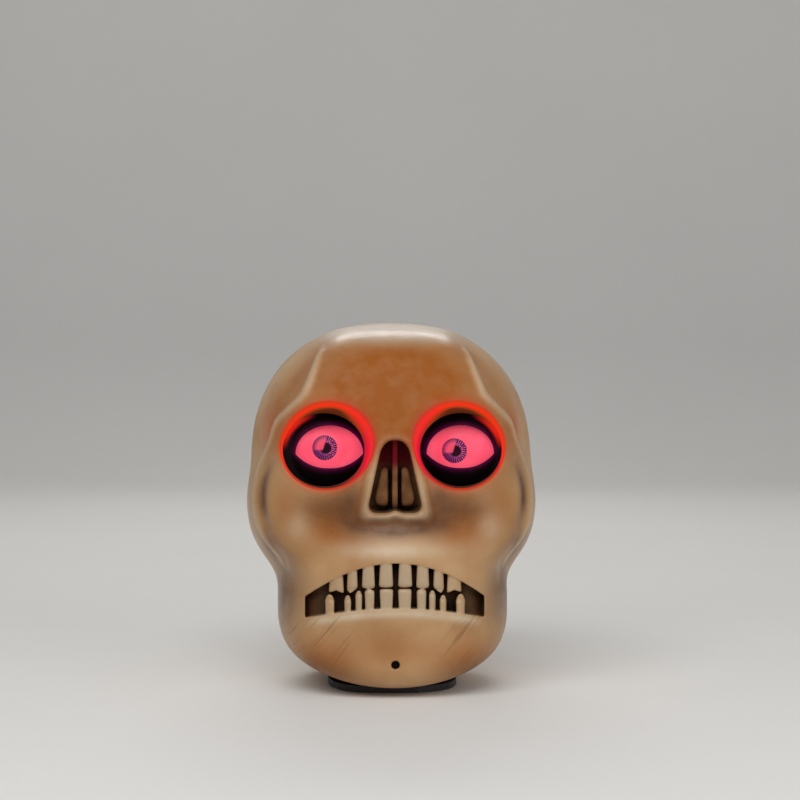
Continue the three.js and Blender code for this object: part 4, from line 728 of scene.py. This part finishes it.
def shell_paint_and_light(points):
    """The strength of each paint, painted shade, painted highlight and painted glow at each point of the shell."""
    skin = Skin(points)
    in_mouth, mouth_dark_and_shade, corner_tan_and_shade, tooth = mouth_paint_and_shade(skin)
    in_nose, nose_dark_and_shade, nose_eye_glow, rim_pale_and_highlight, groove = nose_paint_and_light(skin)
    glow, pink, socket_shade = eye_light(skin, in_nose)
    crown_highlight = ramp(skin.z, *CROWN_HIGHLIGHT)
    top_line = crest(points, skin.depth, CREST_PALE_AND_HIGHLIGHT["width"])
    hollow = hump(line_distance(points, skin.depth, HOLLOW_LINE), HOLLOW_WASH_AND_SHADE["width"])
    hollow = hollow * ramp(skin.z, *HOLLOW_WASH_AND_SHADE["low"]) * (1 - ramp(skin.z, *HOLLOW_WASH_AND_SHADE["high"]))
    lip = hump(skin.mouth - LIP_PALE_AND_HIGHLIGHT["out"], LIP_PALE_AND_HIGHLIGHT["width"])
    lip = lip * ramp(-skin.z, *LIP_PALE_AND_HIGHLIGHT["low"]) * ramp(-skin.x, *LIP_PALE_AND_HIGHLIGHT["ends"])
    # Wash and umber include painted shade, and the pale includes painted highlights
    stain_and_shade = skin.face * (skin.spots(WASH_AND_SHADE_CLOUDS) + groove)
    umber_and_shade = skin.face * (skin.spots(UMBER_AND_SHADE) + HOLLOW_WASH_AND_SHADE["strength"] * hollow)
    pale_and_highlight = skin.face * (skin.spots(PALE_AND_HIGHLIGHT_PLACES) + rim_pale_and_highlight + lip) + CREST_PALE_AND_HIGHLIGHT["pale_and_highlight"] * top_line
    scratched = hump(skin.z - SCRATCHES["z"], SCRATCHES["height"]) * ramp(skin.x, *SCRATCHES["outer"])
    return {
        "dark_paint_and_shade": np.maximum(np.maximum(mouth_dark_and_shade, socket_shade), nose_dark_and_shade),
        "tan": np.maximum(in_nose, corner_tan_and_shade),
        "red": nose_eye_glow,
        "wash_and_shade": (1 - crown_highlight) * np.clip(stain_and_shade, 0, 1) * (1 - top_line),
        "umber_and_shade": np.clip(umber_and_shade, 0, 1) * (1 - top_line) * (1 - in_mouth),
        "pale_and_highlight": np.clip(pale_and_highlight, 0, 1),
        "crown_highlight": crown_highlight,
        "tooth": tooth,
        "scratch": skin.face * scratched,
        "glow": glow,
        "pink": pink,
    }


def shell_piece(name, field, axes):
    points, quads = surface_net(field, axes)
    return mesh_object(name, points, quads, shell_paint_and_light(points))


def face_piece():
    x, y = FACE_FINE["x"], FACE_FINE["y"]
    low, high = FACE_FINE["z"]
    side, (foot, top) = GRID_BOX["x"], GRID_BOX["z"]
    axes = (
        planes((-side, -x, COARSE), (-x, x, FINE), (x, side, COARSE)),
        planes((-GRID_BOX["y"], y, FINE), (y, SEAM_Y + GRID_PAST_SEAM, COARSE)),
        planes((foot, low, COARSE), (low, high, FINE), (high, top, COARSE)),
    )
    return shell_piece("skull_face", face_field, axes)


def rear_piece():
    side, (foot, top) = GRID_BOX["x"], GRID_BOX["z"]
    axes = (
        planes((-side, side, COARSE)),
        planes((SEAM_Y - GRID_PAST_SEAM, GRID_BOX["y"], COARSE)),
        planes((foot, top, COARSE)),
    )
    return shell_piece("skull_rear", rear_field, axes)


# Both lids are made on the right, and the left one is mirrored
def lid_piece(side):
    low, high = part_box("eyelid_right")
    low, high = np.array(low) / METRE - LID_MARGIN, np.array(high) / METRE + LID_MARGIN
    axes = [planes((low[i], high[i], LID_GRID)) for i in range(3)]
    shift = ALMOND_SHIFT[side] * (-1 if side == "left" else 1)

    def field(points):
        return lid_field(points, shift)

    points, quads = surface_net(field, axes)
    place = points - EYE["right"]
    # Painted pink light of the eye on the lid round the almond
    lit = hump(almond_distance(place[:, 0] - shift, place[:, 2]), LID_LIGHT)
    if side == "left":
        points = points * (-1, 1, 1)
        quads = quads[:, ::-1]
    # Painted red glow on the lid next to the socket's rim
    edge_glow = hump(np.minimum(socket_distance(points) + LID_EDGE_GLOW["inset"], 0), LID_EDGE_GLOW["width"])
    edge_glow = edge_glow * ramp(place[:, 2], *LID_EDGE_GLOW["up"]) * ramp(place[:, 0], *LID_EDGE_GLOW["outer"])
    return mesh_object(f"lid_{side}", points, quads, {"lit": lit, "edge_glow": edge_glow})


# A turned body from pairs of radius and height about an upright or a forward axis
def turned(profile, sides, centre, forward):
    angles = np.arange(sides) * 2 * math.pi / sides
    points = []
    for radius, height in profile:
        across, beside = radius * np.cos(angles), radius * np.sin(angles)
        level = np.full(sides, height)
        points.append(np.column_stack([across, -level, beside] if forward else [across, beside, level]))
    points = np.concatenate(points) + centre
    rows = np.arange(len(profile) - 1)[:, None] * sides
    columns = np.arange(sides)[None, :]
    after = (columns + 1) % sides
    ring = [rows + columns, rows + after, rows + sides + after, rows + sides + columns]
    return points, np.stack(ring, -1).reshape(-1, 4)


def joined(parts):
    points, faces, start = [], [], 0
    for place, quads in parts:
        points.append(place)
        faces.append(quads + start)
        start += len(place)
    return np.concatenate(points), np.concatenate(faces)


def pin_profile(root, tip):
    """A pin from its root in the ball to its chamfered tip."""
    shoulder = tip - math.copysign(PIN_CHAMFER, tip)
    return [(0, root), (PIN_RADIUS, root), (PIN_RADIUS, shoulder), (PIN_RADIUS - PIN_CHAMFER, tip), (0, tip)]


def arc_profile(radius, start, end, steps):
    return [(radius * math.sin(a), radius * math.cos(a)) for a in np.linspace(start, end, steps)]


# A hollow cap that looks forward, with a pin above and below it
def eye_piece(side):
    low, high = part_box(f"eyeball_{side}")
    centre = EYE[side]
    inner = EYE_RADIUS - EYE_WALL
    out = arc_profile(EYE_RADIUS, EYE_POLE, EYE_CAP, EYE_STEPS["outside"])
    back = arc_profile(inner, EYE_CAP, EYE_POLE, EYE_STEPS["inside"])
    cap = turned([(0, EYE_RADIUS)] + out + back + [(0, inner)], EYE_STEPS["around"], centre, True)
    upper = pin_profile(PIN_ROOT, high.z / METRE - centre[2])
    lower = pin_profile(-PIN_ROOT, low.z / METRE - centre[2])[::-1]
    pins = [turned(profile, PIN_SIDES, centre, False) for profile in (upper, lower)]
    points, quads = joined([cap] + pins)
    return welded(mesh_object(f"eye_{side}", points, quads))


# Materials

def srgb(red, green, blue):
    channels = np.array((red, green, blue)) / 255
    linear = np.where(channels > 0.04045, ((channels + 0.055) / 1.055) ** 2.4, channels / 12.92)
    return (*linear, 1)


class Finish:
    """A node material that is put together from short calls."""

    def __init__(self, name, **values):
        self.material = bpy.data.materials.new(name)
        self.material.use_nodes = True
        self.tree = self.material.node_tree
        self.shader = self.tree.nodes["Principled BSDF"]
        self.place = self.add("ShaderNodeTexCoord", {}).outputs["Object"]
        for key, value in values.items():
            self.put(key.replace("_", " "), value)

    def feed(self, socket, value):
        if isinstance(value, bpy.types.NodeSocket):
            self.tree.links.new(value, socket)
        else:
            socket.default_value = value

    def put(self, key, value):
        self.feed(self.shader.inputs[key], value)

    def add(self, kind, inputs, **settings):
        node = self.tree.nodes.new(kind)
        for key, value in settings.items():
            setattr(node, key, value)
        for key, value in inputs.items():
            self.feed(node.inputs[key], value)
        return node

    def attribute(self, name):
        return self.add("ShaderNodeAttribute", {}, attribute_name=name).outputs["Fac"]

    def noise(self, scale, detail=4, place=None, roughness=0.55):
        inputs = {"Vector": place or self.place, "Scale": scale, "Detail": detail, "Roughness": roughness}
        return self.add("ShaderNodeTexNoise", inputs).outputs["Fac"]

    def stretched(self, scale, turn=(0, 0, 0)):
        first = self.add("ShaderNodeMapping", {"Vector": self.place, "Rotation": turn})
        second = self.add("ShaderNodeMapping", {"Vector": first.outputs["Vector"], "Scale": scale})
        return second.outputs["Vector"]

    def spread(self, value, low, high, first=0.0, last=1.0):
        inputs = {"Value": value, "From Min": low, "From Max": high, "To Min": first, "To Max": last}
        return self.add("ShaderNodeMapRange", inputs).outputs["Result"]

    def math(self, operation, first, second=0.0):
        return self.add("ShaderNodeMath", {0: first, 1: second}, operation=operation).outputs[0]

    def times(self, first, second):
        return self.math("MULTIPLY", first, second)

    def away(self, place, middle):
        inputs = {0: place, 1: middle}
        return self.add("ShaderNodeVectorMath", inputs, operation="DISTANCE").outputs["Value"]

    def parts(self, place):
        return self.add("ShaderNodeSeparateXYZ", {"Vector": place}).outputs

    def mix(self, share, first, second):
        return self.add("ShaderNodeMix", {0: share, 6: first, 7: second}, data_type="RGBA").outputs[2]

    def bump(self, height, distance):
        inputs = {"Height": height, "Distance": distance, "Strength": 1.0}
        self.put("Normal", self.add("ShaderNodeBump", inputs).outputs["Normal"])


# Paint over the bone colour, with painted shade in the wash and umber and painted highlights in the pale, in
# order: place, mottle range, its shares and the colour
TINTS = (
    ("wash_and_shade", (0.3, 0.6), (0.85, 1.0), (156, 86, 24)),
    ("umber_and_shade", (0.3, 0.65), (0.8, 1.0), (98, 58, 26)),
    ("pale_and_highlight", (0.3, 0.7), (1.0, 0.6), (210, 188, 158)),
    ("tooth", (0.3, 0.7), (1.0, 0.7), (182, 160, 130)),
)


def painted_bone(finish, cloud, mottle):
    """The bone colour under its paint, painted shade and painted highlights, and the share of each."""
    colour = finish.mix(finish.spread(cloud, 0.38, 0.62), srgb(176, 132, 86), srgb(194, 154, 108))
    # The top paler, as a painted highlight on the crown
    colour = finish.mix(finish.attribute("crown_highlight"), colour, srgb(176, 148, 118))
    share = {}
    for name, mottled, shares, tint in TINTS:
        patchy = finish.spread(mottle, *mottled, *shares)
        share[name] = finish.times(finish.attribute(name), patchy)
        colour = finish.mix(share[name], colour, srgb(*tint))
    return colour, share


def bone():
    finish = Finish("bone", Coat_Roughness=0.22)
    cloud = finish.noise(38, 4)
    mottle = finish.noise(150, 5)
    colour, share = painted_bone(finish, cloud, mottle)
    scores = finish.noise(1, 2, finish.stretched((35, 35, 1100), (0, 0.9, 0)))
    scores = finish.times(finish.spread(scores, 0.58, 0.68, 0.0, 0.6), finish.attribute("scratch"))
    colour = finish.mix(scores, colour, srgb(120, 84, 50))
    # Brown paint and painted shade inside the nose and in the mouth's corners
    panel = finish.mix(finish.spread(mottle, 0.35, 0.65), srgb(104, 66, 40), srgb(132, 92, 60))
    recess = finish.attribute("tan")
    colour = finish.mix(recess, colour, panel)
    # The nose's top painted red where the eyes' glow falls into it
    colour = finish.mix(finish.attribute("red"), colour, srgb(104, 10, 22))
    # Dark paint and painted shade deep in the mouth, the nose's slots and the sockets
    deep = finish.mix(finish.spread(mottle, 0.42, 0.64), srgb(14, 6, 5), srgb(46, 27, 17))
    dark_paint_and_shade = finish.attribute("dark_paint_and_shade")
    colour = finish.mix(dark_paint_and_shade, colour, deep)
    # Painted glow of the eye lamps through the shell, in the base colour and as emission
    glow = finish.attribute("glow")
    finish.put("Base Color", finish.mix(finish.spread(glow, 0.1, 0.7), colour, srgb(100, 18, 10)))
    dull = finish.math("MAXIMUM", finish.math("MAXIMUM", dark_paint_and_shade, recess), glow)
    dull = finish.math("MAXIMUM", dull, finish.times(share["wash_and_shade"], 0.7))
    sheen = finish.spread(mottle, 0.3, 0.7, 0.3, 0.42)
    finish.put("Roughness", finish.math("ADD", sheen, finish.times(dull, 0.4)))
    finish.put("Specular IOR Level", finish.spread(dull, 0.0, 1.0, 0.42, 0.1))
    finish.put("Coat Weight", finish.spread(dull, 0.0, 1.0, 0.12, 0.0))
    glow_colour = finish.mix(finish.spread(glow, 0.35, 0.9), srgb(255, 104, 30), srgb(255, 56, 18))
    finish.put("Emission Color", finish.mix(finish.attribute("pink"), glow_colour, srgb(255, 24, 62)))
    finish.put("Emission Strength", finish.times(finish.math("POWER", glow, 1.6), 0.8))
    grain = finish.math("SUBTRACT", finish.noise(700, 3), finish.times(scores, 0.8))
    finish.bump(finish.math("ADD", grain, finish.times(cloud, 4.0)), 0.0001)
    return finish.material


def lid_black():
    finish = Finish("lid_black", Specular_IOR_Level=0.08)
    cloud = finish.noise(220, 4)
    finish.put("Base Color", finish.mix(cloud, srgb(6, 4, 5), srgb(14, 10, 12)))
    finish.put("Roughness", finish.spread(cloud, 0.3, 0.7, 0.5, 0.65))
    # Painted light: pink light of the eye round the almond and a red glow at the lid's rim
    lit = finish.times(finish.attribute("lit"), finish.spread(cloud, 0.3, 0.7, 0.12, 0.2))
    edge_glow = finish.attribute("edge_glow")
    warm = finish.spread(edge_glow, 0.0, 0.2)
    finish.put("Emission Color", finish.mix(warm, srgb(150, 8, 104), srgb(255, 40, 24)))
    finish.put("Emission Strength", finish.math("MAXIMUM", lit, finish.times(edge_glow, 0.7)))
    finish.bump(finish.noise(1500, 2), 0.00006)
    return finish.material


# Printed iris over the pink of the eye: radial strokes, a pupil and a pale spot at its upper left
def iris_colour(finish, flat, pink):
    radius = finish.away(flat, (0, 0, 0))
    ray = finish.add("ShaderNodeVectorMath", {0: flat}, operation="NORMALIZE").outputs["Vector"]
    ray_parts = finish.parts(ray)
    angle = finish.math("ARCTAN2", ray_parts["Y"], ray_parts["X"])
    turn = finish.times(angle, IRIS_STROKES["count"])
    drift = finish.times(finish.noise(4, 2, ray), IRIS_STROKES["drift"])
    wave = finish.math("SINE", finish.math("ADD", turn, drift))
    outer = finish.spread(radius, *IRIS_STROKES["start"])
    strokes = finish.times(finish.spread(wave, -0.6, 0.1), outer)
    right_side = finish.spread(ray_parts["X"], -0.2, 0.6)
    flecks = finish.times(finish.spread(finish.noise(1.6, 2, flat), 0.45, 0.62), right_side)
    colour = finish.mix(flecks, srgb(124, 48, 108), srgb(228, 104, 146))
    colour = finish.mix(strokes, colour, srgb(40, 4, 38))
    pupil = finish.spread(finish.away(flat, PUPIL["middle"]), *PUPIL["edge"])
    colour = finish.mix(pupil, colour, srgb(22, 3, 20))
    colour = finish.mix(pale_spot(finish, flat, radius), colour, srgb(226, 78, 102))
    return finish.mix(finish.spread(radius, *IRIS_EDGE), pink, colour)


def pale_spot(finish, flat, radius):
    parts = finish.parts(flat)
    slanted = finish.math("SUBTRACT", parts["X"], finish.times(parts["Y"], PALE_SPOT["slant"]))
    left_of_edge = finish.spread(slanted, *PALE_SPOT["edge"])
    above = finish.spread(parts["Y"], *PALE_SPOT["low"])
    within = finish.spread(radius, *PALE_SPOT["reach"], *PALE_SPOT["strength"])
    return finish.times(finish.times(left_of_edge, above), within)


# Pink eye, lit from inside, with an iris that sits a little aside of its middle
def lit_eye(side):
    finish = Finish(f"lit_eye_{side}", Specular_IOR_Level=0.12, Roughness=0.3)
    aside, lift = IRIS_PLACE[side]
    centre = EYE[side] + np.array((aside, 0, lift))
    shift = {"Vector": finish.place, "Location": tuple(-centre), "Scale": (1 / METRE,) * 3}
    parts = finish.parts(finish.add("ShaderNodeMapping", shift).outputs["Vector"])
    flat = finish.add("ShaderNodeCombineXYZ", {"X": parts["X"], "Y": parts["Z"]}).outputs["Vector"]
    cloud = finish.noise(120, 3)
    pink = finish.mix(finish.spread(cloud, 0.35, 0.65), srgb(242, 78, 104), srgb(248, 92, 116))
    colour = iris_colour(finish, flat, pink)
    finish.put("Base Color", finish.mix(0.5, colour, srgb(40, 6, 12)))
    finish.put("Emission Color", colour)
    # Emission dims towards the top as painted shade under the upper lid
    finish.put("Emission Strength", finish.spread(parts["Z"], *EYE_LIGHT["up"], *EYE_LIGHT["strength"]))
    finish.bump(finish.noise(300, 2), 0.00003)
    return finish.material


def moulded(name, colour, second, roughness):
    finish = Finish(name)
    cloud = finish.noise(130, 4)
    grain = finish.noise(2200, 2)
    finish.put("Base Color", finish.mix(finish.spread(cloud, 0.3, 0.7), srgb(*colour), srgb(*second)))
    finish.put("Roughness", finish.spread(cloud, 0.3, 0.7, roughness - 0.08, roughness + 0.08))
    finish.bump(finish.math("ADD", grain, cloud), 0.00005)
    return finish.material


def metal(name, colour, second, roughness):
    finish = Finish(name, Metallic=1.0)
    brushed = finish.noise(1, 3, finish.stretched((2600, 2600, 180)))
    cloud = finish.noise(200, 4)
    finish.put("Base Color", finish.mix(finish.spread(cloud, 0.35, 0.7), srgb(*colour), srgb(*second)))
    finish.put("Roughness", finish.spread(brushed, 0.3, 0.7, roughness - 0.1, roughness + 0.1))
    finish.bump(brushed, 0.00003)
    return finish.material


def red_lens():
    finish = Finish("red_lens", Roughness=0.12, Emission_Color=srgb(255, 30, 50))
    cloud = finish.noise(400, 2)
    finish.put("Base Color", finish.mix(cloud, srgb(196, 14, 34), srgb(226, 40, 58)))
    finish.put("Emission Strength", finish.spread(cloud, 0.3, 0.7, 0.5, 0.8))
    return finish.material


def solder_mask():
    finish = Finish("fibreglass", Roughness=0.35)
    tracks = finish.add("ShaderNodeTexBrick", {"Vector": finish.place, "Scale": 260.0, "Mortar Size": 0.03})
    cloud = finish.noise(300, 3)
    base = finish.mix(cloud, srgb(24, 84, 50), srgb(34, 102, 60))
    finish.put("Base Color", finish.mix(tracks.outputs["Fac"], base, srgb(46, 124, 74)))
    finish.bump(tracks.outputs["Fac"], 0.00004)
    return finish.material


def slot_materials():
    return {
        "black": moulded("base_black", (24, 22, 21), (38, 35, 33), 0.5),
        "acetal": moulded("acetal", (226, 220, 206), (236, 232, 220), 0.42),
        "grey_plastic": moulded("grey_plastic", (58, 59, 61), (72, 73, 75), 0.55),
        "chip": moulded("chip", (22, 22, 25), (36, 36, 40), 0.55),
        "cell_jacket": moulded("cell_jacket", (86, 98, 108), (104, 116, 126), 0.35),
        "cable": moulded("cable", (140, 30, 30), (160, 44, 40), 0.5),
        "brass": metal("brass", (196, 154, 80), (176, 134, 66), 0.35),
        "steel": metal("steel", (190, 193, 196), (168, 171, 175), 0.35),
        "red_lens": red_lens(),
        "fibreglass": solder_mask(),
    }


# The inside pieces and the base get finishes by their material slots
def finish_nodes():
    finishes = slot_materials()
    felt = moulded("microphone_felt", (16, 14, 13), (28, 25, 23), 0.85)
    for subpart in frame["record"]["subparts"]:
        finish = finishes.get(subpart["material_slot"])
        if subpart["node"] == "microphone":
            finish = felt
        if finish:
            node = frame["nodes"][subpart["node"]]
            node.data.materials.clear()
            node.data.materials.append(finish)


# Stage, light and camera

def floor_piece():
    near, far, bend, rise, wide = -3.0, 1.1, 0.5, 2.4, 3.0
    arc = [math.radians(a) for a in np.linspace(0, 90, 24)]
    profile = [(near, 0.0)] + [(far + bend * math.sin(a), bend * (1 - math.cos(a))) for a in arc]
    profile.append((far + bend, rise))
    points = np.array([(side * wide, y, z) for y, z in profile for side in (-1, 1)]) / METRE
    rows = np.arange(len(profile) - 1) * 2
    floor = mesh_object("floor", points, np.column_stack([rows, rows + 1, rows + 3, rows + 2]))
    finish = Finish("pale_floor", Roughness=0.75)
    cloud = finish.noise(6, 3)
    finish.put("Base Color", finish.mix(cloud, srgb(232, 230, 226), srgb(238, 236, 232)))
    floor.data.materials.append(finish.material)


def lamp(name, place, size, power):
    data = bpy.data.lights.new(name, "AREA")
    data.shape = "RECTANGLE"
    data.size, data.size_y = size
    data.energy = power
    made = bpy.data.objects.new(name, data)
    made.location = place
    made.rotation_euler = (TARGET - Vector(place)).to_track_quat("-Z", "Y").to_euler()
    bpy.context.scene.collection.objects.link(made)


def light():
    scene = bpy.context.scene
    scene.view_settings.view_transform = "Standard"
    world = bpy.data.worlds.new("studio")
    world.use_nodes = True
    for key, value in SKY.items():
        world.node_tree.nodes["Background"].inputs[key].default_value = value
    scene.world = world
    for row in LAMPS:
        lamp(*row)


def camera():
    scene = bpy.context.scene
    level = math.cos(ELEVATION)
    back = Vector((math.sin(AZIMUTH) * level, -math.cos(AZIMUTH) * level, math.sin(ELEVATION)))
    right = Vector((math.cos(AZIMUTH), math.sin(AZIMUTH), 0))
    up = right.cross(-back)
    data = bpy.data.cameras.new("camera")
    data.lens = LENS
    made = bpy.data.objects.new("camera", data)
    made.location = TARGET + back * DISTANCE
    aim = TARGET + right * AIM_RIGHT + up * AIM_UP
    made.rotation_euler = (aim - made.location).to_track_quat("-Z", "Y").to_euler()
    scene.collection.objects.link(made)
    scene.camera = made


light()
camera()
floor_piece()

bone_finish = bone()
placed(face_piece(), "skull", "face_shell", bone_finish)
placed(rear_piece(), "skull", "rear_shell", bone_finish)
lid_finish = lid_black()
for side in EYE:
    placed(lid_piece(side), "skull", f"eyelid_{side}", lid_finish)
    placed(eye_piece(side), f"eye_{side}", f"eyeball_{side}", lit_eye(side))
finish_nodes()
